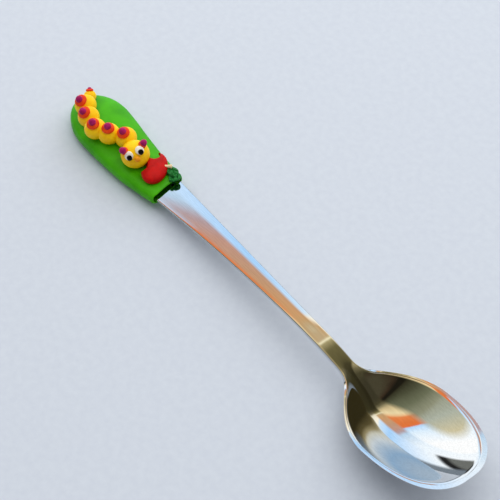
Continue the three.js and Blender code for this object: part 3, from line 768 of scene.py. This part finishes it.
    def rings(self) -> np.ndarray:
        """The skin of the whole blank: top, buffed edge, underside and the other edge.

        Returns:
            Points in millimetres, ring by ring.
        """
        even = np.linspace(-1, 1, self.strips + 1)[None].repeat(len(self.rows()), axis=0)
        first = self.sheet(even)
        rim, up = first[:, -1], self.upwards(first)[:, -1]
        x = rim[:, :1]
        half = self.thickness(x, 1) / 2
        out = unit(np.cross(up, unit(np.gradient(rim, axis=0))))
        outwards = unit(out * (1, 1, 0))
        lean = lerp(*self.land_lean, ease(outwards[:, :1], 0, self.land_toe))
        land = unit(lerp(out, np.array(UP) - lean * outwards, self.has_land(out[:, 2:], x)))
        trim = -half * (up * land).sum(1, keepdims=True) / (out * land).sum(1, keepdims=True)
        upper = rim + up * half + out * trim
        lower = rim - up * half - out * trim
        down = unit(lower - upper)
        before, after = self.buffing_change
        radius = lerp(self.stem_buffing, self.buffing, ease(x, self.heel - before, self.heel + after))
        height = np.linalg.norm(lower - upper, axis=1, keepdims=True)
        round_off = np.minimum(radius, self.buffing_share * height)
        step = np.linspace(0, 1, self.fillet + 1)[None, :, None]

        def corner(start: np.ndarray, point: np.ndarray, end: np.ndarray) -> np.ndarray:
            """A round corner, as points from one side to the other."""
            before, at, after = start[:, None], point[:, None], end[:, None]
            return before * (1 - step) ** 2 + 2 * at * step * (1 - step) + after * step ** 2

        inset = round_off * self.loop_inset
        edge = np.concatenate([
            (upper - out * inset)[:, None],
            corner(upper - out * round_off, upper, upper + down * round_off),
            (upper + down * inset)[:, None],
            (lower - down * inset)[:, None],
            corner(lower - down * round_off, lower, lower - out * round_off),
            (lower - out * inset)[:, None],
        ], axis=1)
        speed = np.linalg.norm(rim - first[:, -2], axis=1, keepdims=True) * self.strips / 2
        taken = (round_off + np.abs(trim)) * self.skin_inset / np.maximum(speed, self.least)
        across = even * (1 - np.minimum(taken, 1 - self.skin_least))
        inner = self.sheet(across)
        lift = self.upwards(inner) * self.thickness(inner[..., 0], across)[..., None] / 2
        mirrored = edge * np.array([1, -1, 1])
        return np.concatenate([inner + lift, edge, (inner - lift)[:, ::-1], mirrored[:, ::-1]], axis=1)

    def build(self) -> None:
        """Presses the blank and dresses it."""
        self.piece = Workpiece.loft("spoon_steel", self.rings())
        self.piece.settle("steel_spoon", STEEL, crease=120)


# The clay sleeve


@dataclass
class HandleSleeve:
    """A loaf of clay, rolled round the tang, pressed on a tray and baked. Sizes in millimetres."""

    steel: SteelSpoon
    width: float = 17.3
    mouth_width: float = 11.6
    taper: float = 1.35
    sway: float = 0.45
    sway_length: float = 54.0
    round_end: float = 12.5
    end_fall: float = 0.6
    clay_under: float = 2.25
    clay_over: float = 3.0
    mouth_under: float = 1.8
    mouth_over: float = 2.0
    flat_press: float = 0.4
    loaf: float = 2.7  # 2 is an oval section, more is squarer
    slant: float = 0.17
    lip: float = 0.5
    bond: float = 0.04
    gape: float = 0.75  # the mouth stands open this far round the steel
    gape_rise: float = 0.3  # and this much further above it
    gape_depth: float = 3.5
    end_start: float = 0.02  # share of the round end's turn at which its first ring lies
    sides: int = 96
    steps: tuple[int, ...] = (26, 44, 6)  # round end, length, lip
    piece: Workpiece = field(init=False)

    def __post_init__(self) -> None:
        """Takes the sleeve's length from the steel that it covers."""
        self.mouth = self.steel.mouth

    def roundness(self, x: Any) -> Any:
        """How far the round end has opened, from 0 to 1."""
        return superellipse(1 - share(x, 0, self.round_end), 2)

    def middle(self, x: Any) -> Any:
        """Sideways sway of the sleeve's middle line."""
        return self.sway * np.cos(math.tau * np.asarray(x, float) / self.sway_length)

    def half_width(self, x: Any) -> Any:
        """Half the sleeve's width."""
        full = lerp(self.width, self.mouth_width, share(x, self.round_end, self.mouth) ** self.taper)
        return full / 2 * self.roundness(x)

    def above(self, x: Any) -> Any:
        """Height of clay above the middle of the steel."""
        clay = lerp(self.clay_over, self.mouth_over, ease(x, self.round_end, self.mouth))
        return (self.steel.tang_gauge / 2 + clay) * self.roundness(x) ** self.end_fall

    def below(self, x: Any) -> Any:
        """Depth of clay below the middle of the steel."""
        bend = self.mouth - self.steel.tang_bend
        clay = lerp(self.clay_under + self.flat_press, self.mouth_under, ease(x, bend, self.mouth))
        return (self.steel.tang_gauge / 2 + clay) * self.roundness(x) ** self.end_fall

    def top(self, x: float, y: float) -> float:
        """Height of the sleeve's top at a place on it."""
        across = (y - self.middle(x)) / self.half_width(x)
        edge = self.steel.edge_height(np.asarray(x, float))
        return float(edge + self.above(x) * superellipse(across, self.loaf))

    def on_top(self, along: float, across: float) -> Vector:
        """A place on the sleeve's top.

        Args:
            along: share of its length.
            across: share of its half width, to the left.

        Returns:
            The point, in millimetres from the round end.
        """
        x = along * self.mouth
        y = float(self.middle(x) + across * self.half_width(x))
        return Vector((x, y, self.top(x, y)))

    def outwards(self, place: Vector, reach: float = 0.15) -> Vector:
        """The direction out of the sleeve's top at a place on it.

        Args:
            place: the point.
            reach: how far to each side the slope is taken, in millimetres.

        Returns:
            The direction.
        """
        ahead = self.top(place.x + reach, place.y) - self.top(place.x - reach, place.y)
        aside = self.top(place.x, place.y + reach) - self.top(place.x, place.y - reach)
        return Vector((-ahead, -aside, 2 * reach)).normalized()

    def rings(self) -> np.ndarray:
        """The sleeve's skin, from its round end to the slanted mouth.

        Returns:
            Points in millimetres, ring by ring.
        """
        tail, length, lip = self.steps
        end = self.round_end * (1 - np.cos(np.linspace(self.end_start, 1, tail, endpoint=False) * np.pi / 2))
        body = np.linspace(self.round_end, self.mouth - self.lip, length, endpoint=False)
        turned = self.mouth - self.lip * (1 - np.sin(np.linspace(0, 1, lip + 1) * np.pi / 2))
        x = np.concatenate([end, body, turned])[:, None]
        angle = np.linspace(0, math.tau, self.sides, endpoint=False)[None]
        across, rise = (np.sign(v) * np.abs(v) ** (2 / self.loaf) for v in (-np.cos(angle), np.sin(angle)))
        inset = self.lip * (1 - superellipse(share(x, self.mouth - self.lip, self.mouth), 2))
        y = self.middle(x) + across * (self.half_width(x) - inset)
        height = np.where(rise > 0, self.above(x), self.below(x)) - inset
        z = self.steel.edge_height(x) + rise * height
        slant = self.slant * share(x, self.round_end, self.mouth) ** 2
        return np.stack([x - slant * y, y, z], axis=-1)

    def build(self) -> None:
        """Rolls the loaf, presses it flat underneath, leaves room for the tang and dresses it."""
        self.piece = Workpiece.loft("sleeve_clay", self.rings())
        self.piece.roughen(depth=0.16, grain=7)
        self.piece.slice(Vector((0, 0, BOND * MM)), Vector((0, 0, -1)))
        tang = self.steel.piece.copy("tang_tool")
        tang.modify("DISPLACE", strength=self.bond * MM, mid_level=0)
        hollow = self.steel.piece.copy("mouth_tool")
        for way in (-1, 1):
            end = Vector((self.mouth + way * self.gape_depth, 0, 0)) * MM + START
            hollow.slice(end, Vector((way, way * self.slant, 0)))
        hollow.modify("DISPLACE", strength=self.gape * MM, mid_level=0)
        hollow.points = hollow.points + np.array(UP) * (self.gape_rise * MM)
        self.piece.cut([tang, hollow])
        self.piece.settle("handle_sleeve", Clay.GREEN.value)


# Pellets of clay


@dataclass
class Pellet:
    """A pinch of clay, rolled into a ball and flattened along the direction that it faces.

    Sizes are in millimetres.
    """

    node: str
    at: Vector
    width: float
    height: float
    facing: Vector
    piece: Workpiece = field(init=False)

    @property
    def turn(self) -> Quaternion:
        """The turn from upwards to where it faces."""
        return UP.rotation_difference(self.facing)

    @property
    def reach(self) -> float:
        """Its larger radius."""
        return max(self.width, self.height) / 2

    def surface(self, direction: Vector, proud: float = 0) -> Vector:
        """The point of its surface in a direction from its middle.

        Args:
            direction: a direction of length 1.
            proud: how far above the surface.

        Returns:
            The point.
        """
        local = self.turn.inverted() @ direction
        radius = 1 / Vector((local.x / self.width, local.y / self.width, local.z / self.height)).length / 2
        return self.at + direction * (radius + proud)

    def touches(self, other: "Pellet") -> bool:
        """Whether the two balls meet."""
        return (self.at - other.at).length < self.reach + other.reach

    def roll(self, ball: Workpiece, unevenness: float = 0.02) -> None:
        """Copies the rolled ball, flattens it and sets it in place.

        Args:
            ball: a ball of radius 1.
            unevenness: share of its width by which the fingers left it uneven.
        """
        self.piece = ball.copy(f"{self.node}_clay")
        self.piece.place(self.at, self.turn, (self.width / 2, self.width / 2, self.height / 2))
        self.piece.roughen(depth=unevenness * self.width, grain=self.width / 2)

    def flatten_against(self, other: "Pellet", bond: float = 0.02) -> None:
        """Leaves a flat where two balls are pushed together.

        Args:
            other: the other ball.
            bond: gap between the two flats.
        """
        away = other.at - self.at
        gap = away.length
        flat = (gap ** 2 + self.reach ** 2 - other.reach ** 2) / (2 * gap) - bond / 2
        self.piece.slice((self.at + away * (flat / gap)) * MM + START, away.normalized())


def rolled_ball(cuts: int = 21) -> Workpiece:
    """A ball of radius 1 with no poles, from which every pellet is copied.

    Args:
        cuts: cuts along each edge of the cube that it starts from.

    Returns:
        The ball.
    """
    ball = Workpiece.primitive("rolled_ball", bpy.ops.mesh.primitive_cube_add, size=2)
    ball.edit(lambda: bpy.ops.mesh.subdivide(number_cuts=cuts))
    ball.points = unit(np.tan(ball.points * np.pi / 4))
    return ball


@dataclass(frozen=True)
class Segment:
    """One ball of the body: its place on the sleeve, and the way that its spot leans."""

    name: str
    along: float
    across: float
    lean: tuple[float, float]
    small: bool = False


@dataclass
class Grub:
    """A body of balls with a spot and a bead on each, and a head with a face and two feelers."""

    sleeve: HandleSleeve
    ball: Workpiece
    # Place along and across the sleeve's top, and lean forwards and to the left
    segments: tuple[Segment, ...] = (
        Segment("tail", 0.07, 0.24, (-0.85, 0.55), small=True),
        Segment("body_2", 0.15, -0.3, (-0.05, -0.55)),
        Segment("body_3", 0.251, -0.47, (0, -0.53)),
        Segment("body_4", 0.362, -0.57, (0.1, -0.28)),
        Segment("body_5", 0.455, -0.33, (0.1, -0.14)),
        Segment("body_6", 0.546, 0.05, (0.07, -0.32)),
    )
    head_place: tuple[float, float] = (0.708, -0.19)
    # Widths and heights in millimetres
    tail_width: float = 3.7
    ball_width: float = 6.3
    head_width: float = 8.2
    squash: float = 0.92
    press: float = 0.75
    spot_size: tuple[float, float] = (3.7, 1.7)
    tail_spot_size: tuple[float, float] = (2.2, 1.1)
    bead_width: float = 2.05
    tail_bead_width: float = 1.3
    bead_sink: float = 0.95
    eye_size: tuple[float, float] = (2.6, 1.3)
    pupil_size: tuple[float, float] = (1.6, 0.8)
    nose_width: float = 1.7
    feeler_size: tuple[float, float] = (2.3, 1.7)
    feeler_tip_width: float = 1.9
    feeler_proud: float = 0.2
    # Directions from the middle of the face, in degrees to its left and upwards
    eye_spread: float = 25.0
    pupil_spread: float = 23.0
    pupil_drop: float = 8.0
    nose_drop: float = 27.0
    feelers: tuple[tuple[str, float, float], ...] = (("left_feeler", 51, 17), ("right_feeler", -35, 26))
    face: Vector = field(default_factory=lambda: Vector((0.45, -0.36, 0.75)).normalized())
    side: Vector = field(default_factory=lambda: Vector((0.24, 0.92, 0.3)).normalized())
    chain: list[Pellet] = field(init=False, default_factory=list)

    @property
    def head(self) -> Pellet:
        """The head's ball, the last of the chain."""
        return self.chain[-1]

    def resting(self, node: str, along: float, across: float, width: float) -> Pellet:
        """A ball pressed a little into the sleeve's top.

        Args:
            node: the solid that it stands for.
            along: its place, as a share of the sleeve's length.
            across: and of its half width.
            width: its width.

        Returns:
            The ball.
        """
        height = width * self.squash
        middle = self.sleeve.on_top(along, across) + UP * (height / 2 - self.press)
        return Pellet(node, middle, width, height, UP)

    def look(self, turn: float, lift: float) -> Vector:
        """A direction from the head.

        Args:
            turn: degrees to the face's left.
            lift: degrees above its middle.

        Returns:
            The direction.
        """
        above = self.face.cross(self.side).normalized()
        left = above.cross(self.face)
        turn, lift = math.radians(turn), math.radians(lift)
        level = self.face * math.cos(turn) + left * math.sin(turn)
        return level * math.cos(lift) + above * math.sin(lift)

    def stick(self, pellet: Pellet, carriers: Sequence[Workpiece], clay: Clay) -> Pellet:
        """Rolls a pellet, presses it on what carries it and dresses it.

        Args:
            pellet: where and how large it is.
            carriers: the pieces that it is pressed on.
            clay: what it is made of.

        Returns:
            The same pellet.
        """
        pellet.roll(self.ball)
        near = [ball.piece for ball in self.chain if pellet.touches(ball) and ball.piece not in carriers]
        pellet.piece.seat([*near, *carriers])
        pellet.piece.settle(pellet.node, clay.value)
        return pellet

    def bead(self, node: str, base: Pellet, width: float) -> Pellet:
        """A bead sunk into the top of another pellet, facing the same way."""
        return Pellet(node, base.surface(base.facing, width / 2 - self.bead_sink), width, width, base.facing)

    def build_body(self) -> None:
        """Rolls the balls, pushes them together on the sleeve and puts a spot and a bead on each."""
        for part in self.segments:
            width = self.tail_width if part.small else self.ball_width
            self.chain.append(self.resting(f"{part.name}_ball", part.along, part.across, width))
        self.chain.append(self.resting("head_ball", *self.head_place, self.head_width))
        for ball in self.chain:
            ball.roll(self.ball)
        for ball in self.chain:
            for other in self.chain:
                if other is not ball and ball.touches(other):
                    ball.flatten_against(other)
            ball.piece.seat([self.sleeve.piece])
            ball.piece.settle(ball.node, Clay.YELLOW.value, crease=30)
        for part, ball in zip(self.segments, self.chain):
            facing = Vector((*part.lean, 1)).normalized()
            width, height = self.tail_spot_size if part.small else self.spot_size
            spot = Pellet(f"{part.name}_spot", ball.surface(facing), width, height, facing)
            bead_width = self.tail_bead_width if part.small else self.bead_width
            bead = self.bead(f"{part.name}_bead", spot, bead_width)
            self.stick(spot, [ball.piece], Clay.ORANGE)
            self.stick(bead, [spot.piece], Clay.PURPLE)

    def build_face(self) -> None:
        """Puts on the eyes, their pupils, the nose and the feelers."""
        head = self.head
        for name, sign in (("left", 1), ("right", -1)):
            gaze = self.look(sign * self.eye_spread, 0)
            eye = Pellet(f"{name}_eye", head.surface(gaze), *self.eye_size, gaze)
            self.stick(eye, [head.piece], Clay.WHITE)
            aim = self.look(sign * self.pupil_spread, -self.pupil_drop)
            pupil = Pellet(f"{name}_pupil", head.surface(aim, self.eye_size[1] / 2), *self.pupil_size, aim)
            self.stick(pupil, [eye.piece], Clay.BLACK)
        aim = self.look(0, -self.nose_drop)
        nose = Pellet("nose", head.surface(aim), self.nose_width, self.nose_width, aim)
        self.stick(nose, [head.piece], Clay.AMBER)
        for name, turn, lift in self.feelers:
            facing = self.look(turn, lift)
            base = Pellet(f"{name}_base", head.surface(facing, self.feeler_proud), *self.feeler_size, facing)
            tip = self.bead(f"{name}_tip", base, self.feeler_tip_width)
            self.stick(base, [head.piece], Clay.ORANGE)
            self.stick(tip, [base.piece], Clay.PURPLE)


# Fruit


@dataclass(frozen=True)
class Leaf:
    """One leaf's place on the sleeve: shares of its length and half width, heading in degrees, and layer."""

    name: str
    along: float
    across: float
    heading: float
    layer: int


@dataclass
class Fruit:
    """A flattened apple with two bites, its stalk and two veined leaves. Sizes in millimetres."""

    sleeve: HandleSleeve
    grub: Grub
    length: float = 11.2
    width: float = 7.5
    height: float = 3.4
    press: float = 0.8
    fullness: float = 2.6
    heading: float = 134.0
    place: tuple[float, float] = (0.843, 0.1)
    # Heading in degrees, distance from the apple's middle, and width
    bites: tuple[tuple[float, float, float], ...] = ((144, 4.0, 3.5), (231, 3.9, 4.2))
    skin: float = 0.12  # mesh size of the skin in which the bites' edges are smoothed
    stalk_length: float = 2.2
    stalk_width: float = 1.2
    stalk_point: float = 0.5
    stalk_heading: float = 52.0
    stalk_overlap: float = 1.0
    stalk_rise: float = 0.9
    stalk_round: float = 0.22
    leaf_length: float = 4.3
    leaf_width: float = 3.4
    leaf_thickness: float = 1.05
    leaf_belly: float = 0.4
    leaf_edge: float = 0.5
    leaf_section: float = 3.0
    leaf_lift: float = 0.25
    leaf_overlap: float = 0.55
    vein: tuple[float, float] = (0.48, 0.5)  # width and depth
    side_vein: tuple[float, float] = (0.4, 0.42)
    vein_heading: float = 45.0
    vein_step: float = 1.62
    vein_stagger: float = 0.2
    vein_margin: float = 0.45
    leaves: tuple[Leaf, ...] = (
        Leaf("leaf_lower", 0.975, 0.5, -75, 0),
        Leaf("leaf_upper", 0.945, 0.58, -19, 1),
    )
    leaf_ends: tuple[float, float] = (0.015, 0.995)  # first row's share of a half turn, last's of the length
    leaf_grid: tuple[int, int] = (64, 56)
    apple: Workpiece = field(init=False)

    @property
    def middle(self) -> Vector:
        """The middle of the apple."""
        return self.sleeve.on_top(*self.place) + UP * (self.height / 2 - self.press)

    def build_apple(self) -> None:
        """Flattens a ball into a thick disc, bites it and presses it on beside the head."""
        apple = Workpiece.primitive("apple_clay", bpy.ops.mesh.primitive_uv_sphere_add, segments=96,
                                    ring_count=48, radius=1)
        ball = apple.points
        out = np.linalg.norm(ball[:, :2], axis=1, keepdims=True)
        squarer = 2 / self.fullness
        level = ball[:, :2] / np.maximum(out, TINY) * out ** squarer
        apple.points = np.hstack([level, np.sign(ball[:, 2:]) * np.abs(ball[:, 2:]) ** squarer])
        turn = Quaternion(UP, math.radians(self.heading))
        apple.place(self.middle, turn, (self.length / 2, self.width / 2, self.height / 2))
        teeth = []
        for degrees, reach, width in self.bites:
            tooth = Workpiece.primitive("tooth", bpy.ops.mesh.primitive_cylinder_add, vertices=64, radius=1,
                                        depth=2)
            middle = self.middle + heading(degrees) * reach
            tooth.place(middle, Quaternion(), (width / 2, width / 2, self.height))
            teeth.append(tooth)
        apple.cut(teeth)
        apple.modify("REMESH", mode="VOXEL", voxel_size=self.skin * MM)
        apple.modify("SMOOTH", factor=0.5, iterations=9)
        apple.roughen(depth=0.12, grain=3)
        apple.seat([self.sleeve.piece, self.grub.head.piece])
        apple.settle("apple", Clay.RED.value, crease=70)
        self.apple = apple

    def build_stalk(self) -> None:
        """Rolls a tapered peg, rounds its ends and presses it into the apple's edge."""
        out = heading(self.stalk_heading)
        reach = self.width / 2 - self.stalk_overlap + self.stalk_length / 2
        stalk = Workpiece.primitive("stalk_clay", bpy.ops.mesh.primitive_cone_add, vertices=40, depth=2,
                                    radius1=self.stalk_point / self.stalk_width, radius2=1)
        half = self.stalk_width / 2
        stalk.place(self.middle + out * reach + UP * self.stalk_rise, UP.rotation_difference(out),
                    (half, half, self.stalk_length / 2))
        stalk.modify("BEVEL", width=self.stalk_round * MM, segments=4, limit_method="ANGLE")
        stalk.edit(lambda: bpy.ops.mesh.subdivide(number_cuts=2))
        stalk.roughen(depth=0.08, grain=0.6)
        stalk.seat([self.apple])
        stalk.settle("apple_stalk", Clay.CREAM.value)

    def leaf_half_width(self, along: np.ndarray) -> np.ndarray:
        """Half a leaf's width, round at its base and pointed at its end."""
        half = self.leaf_length / 2
        offset = along + self.leaf_belly
        point = 1 - np.clip(offset / (half + self.leaf_belly), 0, 1) ** 2
        base = superellipse(offset / (half - self.leaf_belly), 2)
        return self.leaf_width / 2 * np.where(offset > 0, point, base)

    def veins(self, along: np.ndarray, across: np.ndarray) -> np.ndarray:
        """Depth of the pressed veins.

        Args:
            along: places along the leaf.
            across: places across it.

        Returns:
            The depth at each place.
        """
        def groove(run: np.ndarray, aside: np.ndarray, length: float,
                   size: tuple[float, float]) -> np.ndarray:
            """Depth of one pressed line, which fades at its ends.

            Args:
                run: places along the line.
                aside: places beside it.
                length: its length.
                size: its width and depth.

            Returns:
                The depth at each place.
            """
            width, depth = size
            ends = ease(run, -width, width) * (1 - ease(run, length - width, length + width))
            return depth * ends * np.exp(-(aside / (width / 2)) ** 2)

        start = self.vein_margin - self.leaf_length / 2
        depth = groove(along - start, across, self.leaf_length - 2 * self.vein_margin, self.vein)
        lean = math.radians(self.vein_heading)
        for pair in (-0.5, 0.5):
            for side in (1, -1):
                root = pair * self.vein_step - self.leaf_belly + side * self.vein_stagger / 2
                ahead, aside = along - root, across * side
                run = ahead * math.cos(lean) + aside * math.sin(lean)
                off = aside * math.cos(lean) - ahead * math.sin(lean)
                depth = np.maximum(depth, groove(run, off, self.leaf_width / 2, self.side_vein))
        return depth

    def build_leaves(self) -> None:
        """Cuts the leaves, presses in their veins and lays one over the other on the sleeve."""
        rows, columns = self.leaf_grid
        half = self.leaf_length / 2
        base, point = self.leaf_ends
        x = (-half * np.cos(np.linspace(base, 1, rows) * np.pi))[:, None]
        x = np.minimum(x, half * point)
        side = np.linspace(-1, 1, columns)[None]
        y = side * self.leaf_half_width(x)
        ends = superellipse(1 - share(half - np.abs(x), 0, self.leaf_edge), 2)
        rise = self.leaf_thickness / 2 * superellipse(side, self.leaf_section) * ends
        top = np.stack([x + 0 * y, y, rise - self.veins(x, y) * ends], axis=-1)
        bottom = np.stack([x + 0 * y, y, -rise], axis=-1)
        shape = np.concatenate([top, bottom[:, -2:0:-1]], axis=1)
        carriers = [self.sleeve.piece, self.apple]
        for leaf in self.leaves:
            seat = self.sleeve.on_top(leaf.along, leaf.across)
            normal = self.sleeve.outwards(seat)
            turn = UP.rotation_difference(normal) @ Quaternion(UP, math.radians(leaf.heading))
            middle = seat + normal * (self.leaf_lift + leaf.layer * self.leaf_overlap)
            laid = shape @ np.array(turn.to_matrix()).T + np.array(middle)
            blade = Workpiece.loft(f"{leaf.name}_clay", laid)
            blade.roughen(depth=0.06, grain=1.5)
            blade.seat(carriers)
            blade.settle(leaf.name, Clay.LEAF.value, crease=60)
            carriers.append(blade)


# The studio


class Measure(Enum):
    """How a direction in the room is measured: round the spoon in degrees, or along it from -1 to 1."""

    TURN = "turn"
    ALONG = "along"


@dataclass(frozen=True)
class Layer:
    """What stands in one part of the room, and where it fades in over the layers before it.

    Its colours run along the spoon, from the window's far end to the dark inner wall.
    """

    fade: Span
    stops: Stops
    measure: Measure = Measure.TURN


@dataclass
class Studio:
    """A pale table in a room with one large window, and the camera. Lengths in metres.

    The steel mirrors the room, so each direction has its colour. Round the spoon, 0 degrees is level to its
    left, where the window is, 90 is straight up and 180 is level to its right.
    """

    table_size: float = 3.0
    lamp_from: tuple[float, float, float] = (-0.3, 0.38, 0.62)
    lamp_size: float = 2.1
    lamp_power: float = 14.5
    ambient: float = 0.48
    ambient_tint: str = "edf0f6"
    eye: tuple[float, float, float] = (0.271619, -0.157351, 0.330158)
    right: tuple[float, float, float] = (0.61513, 0.78818, 0.01975)
    down: tuple[float, float, float] = (0.62781, -0.47451, -0.61701)
    ahead: tuple[float, float, float] = (-0.47695, 0.39193, -0.78671)
    lens: float = 111.04
    sensor: float = 36.0
    nearest: float = 0.01
    glow: float = 1.55  # brightness of the window, which is white
    sill: str = "747d86"
    # The window's edge lies further along the spoon at some heights, and the bands are laid out from it
    edge: Span = Span(50, 126, -0.59, -0.70)
    reach: Span = Span(-0.5, 1.4)
    layers: tuple[Layer, ...] = (
        # Above the sill: grey and a dark line, then pale and blue panes, then the dark wall
        Layer(Span(8, 15), (
            (0.0, "666864"), (0.078, "6c6e6a"), (0.086, "232323"), (0.096, "232323"), (0.106, "f4faff"),
            (0.28, "a9d3fb"), (0.33, "cfe6fa"), (0.345, "fff6e0"), (0.41, "e6dcc0"), (0.46, "7a7054"),
            (0.56, "4a4632"), (0.7, "38341f"), (1.0, "302c1b"),
        )),
        # Higher up: white and blue panes, then rose and tan, a bright line and the dark wall
        Layer(Span(48, 57), (
            (0.0, "ffffff"), (0.15, "eef7ff"), (0.228, "b9d3ea"), (0.245, "b39ea2"), (0.265, "c29684"),
            (0.3, "c29878"), (0.335, "cc9b6c"), (0.36, "c59f70"), (0.385, "c0aa84"), (0.397, "f6ebc4"),
            (0.412, "a89b70"), (0.46, "6b6340"), (0.55, "453f28"), (0.7, "322e1c"), (1.0, "2b2717"),
        )),
        # The top of the window: white and blue, then orange, then a sunlit wall
        Layer(Span(79, 87), (
            (0.0, "ffffff"), (0.15, "ffffff"), (0.22, "e2f2ff"), (0.257, "b6dafb"), (0.264, "df7138"),
            (0.342, "e4834a"), (0.362, "ecc390"), (0.385, "ecd7a8"), (0.45, "d3bd8e"), (0.55, "9c906b"),
            (0.65, "6d6549"), (0.8, "48432d"), (1.0, "3a3626"),
        )),
        # Overhead: a cream ceiling that darkens, with a dark patch at its end
        Layer(Span(117, 127), (
            (0.0, "f3ecd9"), (0.12, "e2dcc6"), (0.2, "cfc4a0"), (0.27, "aeb3a4"), (0.33, "8f9078"),
            (0.45, "6a6d55"), (0.6, "4b4c38"), (0.74, "302e1f"), (0.77, "1d1a12"), (0.84, "1d1a12"),
            (0.9, "382c1f"), (1.0, "45402f"),
        )),
        # The dark side of the room
        Layer(Span(147, 153), ((0.0, "14110f"),)),
        # The pale wall past the bowl's tip
        Layer(Span(0.82, 0.92), ((0.0, "c3c8cd"),), Measure.ALONG),
    )
    # Painted reflection of what the bowl's walls show each other, for rays that the steel mirrored twice,
    # from one end of the room to the other, and painted shade above it
    again: Stops = (
        (0.05, "c9d8e6"), (0.2, "a5c8ea"), (0.34, "eef6fb"), (0.42, "f2efdd"), (0.47, "b5a67c"),
        (0.54, "6a5e3c"), (0.66, "3a331c"),
    )
    again_reach: Span = Span(-1.0, 1.0)
    shade: str = "8094a8"
    shade_fade: Span = Span(90, 99, 0.0, 0.8)

    def build_table(self) -> None:
        """Adds the table top."""
        top = Workpiece.primitive("table_top", bpy.ops.mesh.primitive_plane_add, size=self.table_size)
        top.edit(lambda: bpy.ops.mesh.subdivide(number_cuts=3))
        top.body.data.materials.append(LAMINATE.material())

    def build_lamp(self) -> None:
        """Hangs one large soft lamp where the window is. The steel mirrors the painted window instead."""
        lamp = bpy.data.lights.new("window_lamp", "AREA")
        lamp.shape = "DISK"
        lamp.size = self.lamp_size
        lamp.energy = self.lamp_power
        holder = bpy.data.objects.new("window_lamp", lamp)
        holder.location = self.lamp_from
        holder.rotation_euler = (-Vector(self.lamp_from)).to_track_quat("-Z", "Y").to_euler()
        holder.visible_glossy = False
        bpy.context.scene.collection.objects.link(holder)

    def build_room(self) -> None:
        """Paints the room that the eye and the steel see, and a plain soft light for everything else."""
        world = bpy.data.worlds.new("room")
        bpy.context.scene.world = world
        world.use_nodes = True
        tree = world.node_tree
        tree.nodes.clear()
        way = add_node(tree, "TexCoord").outputs["Generated"]
        along, left, up = add_node(tree, "SeparateXYZ", {0: way}).outputs
        radians = add_node(tree, "Math", {0: up, 1: left}, operation="ARCTAN2").outputs[0]
        turn = add_node(tree, "Math", {0: radians}, operation="DEGREES").outputs[0]
        measures = {Measure.TURN: turn, Measure.ALONG: along}
        edge = add_node(tree, "MapRange", self.edge.of(turn)).outputs[0]
        past_edge = add_node(tree, "Math", {0: along, 1: edge}, operation="SUBTRACT").outputs[0]
        across = add_node(tree, "MapRange", self.reach.of(past_edge)).outputs[0]
        seen = linear(self.sill)
        for layer in self.layers:
            cover = add_node(tree, "MapRange", layer.fade.of(measures[layer.measure])).outputs[0]
            ramp = add_node(tree, "ValToRGB", {"Fac": across})
            set_ramp(ramp, layer.stops)
            seen = add_node(tree, "Mix", {"Factor": cover, "A": seen, "B": ramp.outputs[0]},
                            data_type="RGBA").outputs["Result"]
        # Rays that the steel has mirrored twice see painted colours instead of the room: a painted reflection
        # of the bowl's walls in each other, under painted shade
        ends = add_node(tree, "MapRange", self.again_reach.of(along)).outputs[0]
        again = add_node(tree, "ValToRGB", {"Fac": ends})
        set_ramp(again, self.again)
        cover = add_node(tree, "MapRange", self.shade_fade.of(turn)).outputs[0]
        painted_second_reflection = add_node(tree, "Mix", {"Factor": cover, "A": again.outputs[0], "B": linear(self.shade)},
                          data_type="RGBA").outputs["Result"]
        path = add_node(tree, "LightPath").outputs
        # A ray that has met the steel once has a depth of 1
        twice = add_node(tree, "MapRange", Span(1, 2).of(path["Glossy Depth"])).outputs[0]
        seen = add_node(tree, "Mix", {"Factor": twice, "A": seen, "B": painted_second_reflection},
                        data_type="RGBA").outputs["Result"]
        looked_at = path["Is Camera Ray"]
        for ray in ("Is Glossy Ray", "Is Transmission Ray"):
            looked_at = add_node(tree, "Math", {0: looked_at, 1: path[ray]}, operation="MAXIMUM").outputs[0]
        soft, walls = (
            add_node(tree, "Background", {"Color": colour, "Strength": strength}).outputs[0]
            for colour, strength in ((linear(self.ambient_tint), self.ambient), (seen, self.glow))
        )
        both = add_node(tree, "MixShader", {0: looked_at, 1: soft, 2: walls}).outputs[0]
        add_node(tree, "OutputWorld", {"Surface": both})

    def build_camera(self) -> None:
        """Sets the camera where the spoon was looked at from."""
        camera = bpy.data.cameras.new("camera")
        camera.lens = self.lens
        camera.sensor_width = self.sensor
        camera.clip_start = self.nearest
        holder = bpy.data.objects.new("camera", camera)
        axes = Matrix((self.right, -Vector(self.down), -Vector(self.ahead))).transposed()
        holder.matrix_world = Matrix.Translation(Vector(self.eye) + START) @ axes.to_4x4()
        bpy.context.scene.collection.objects.link(holder)
        bpy.context.scene.camera = holder

    def build(self) -> None:
        """Sets up the table, the light, the room and the camera."""
        bpy.context.scene.view_settings.view_transform = "Standard"
        self.build_table()
        self.build_lamp()
        self.build_room()
        self.build_camera()


def main() -> None:
    """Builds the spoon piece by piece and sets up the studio."""
    logging.basicConfig(level=logging.INFO, format="%(message)s")
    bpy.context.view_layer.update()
    steel = SteelSpoon()
    steel.build()
    sleeve = HandleSleeve(steel)
    sleeve.build()
    ball = rolled_ball()
    grub = Grub(sleeve, ball)
    grub.build_body()
    grub.build_face()
    bpy.data.objects.remove(ball.body)
    fruit = Fruit(sleeve, grub)
    fruit.build_apple()
    fruit.build_stalk()
    fruit.build_leaves()
    Studio().build()


if __name__ == "__main__":
    main()
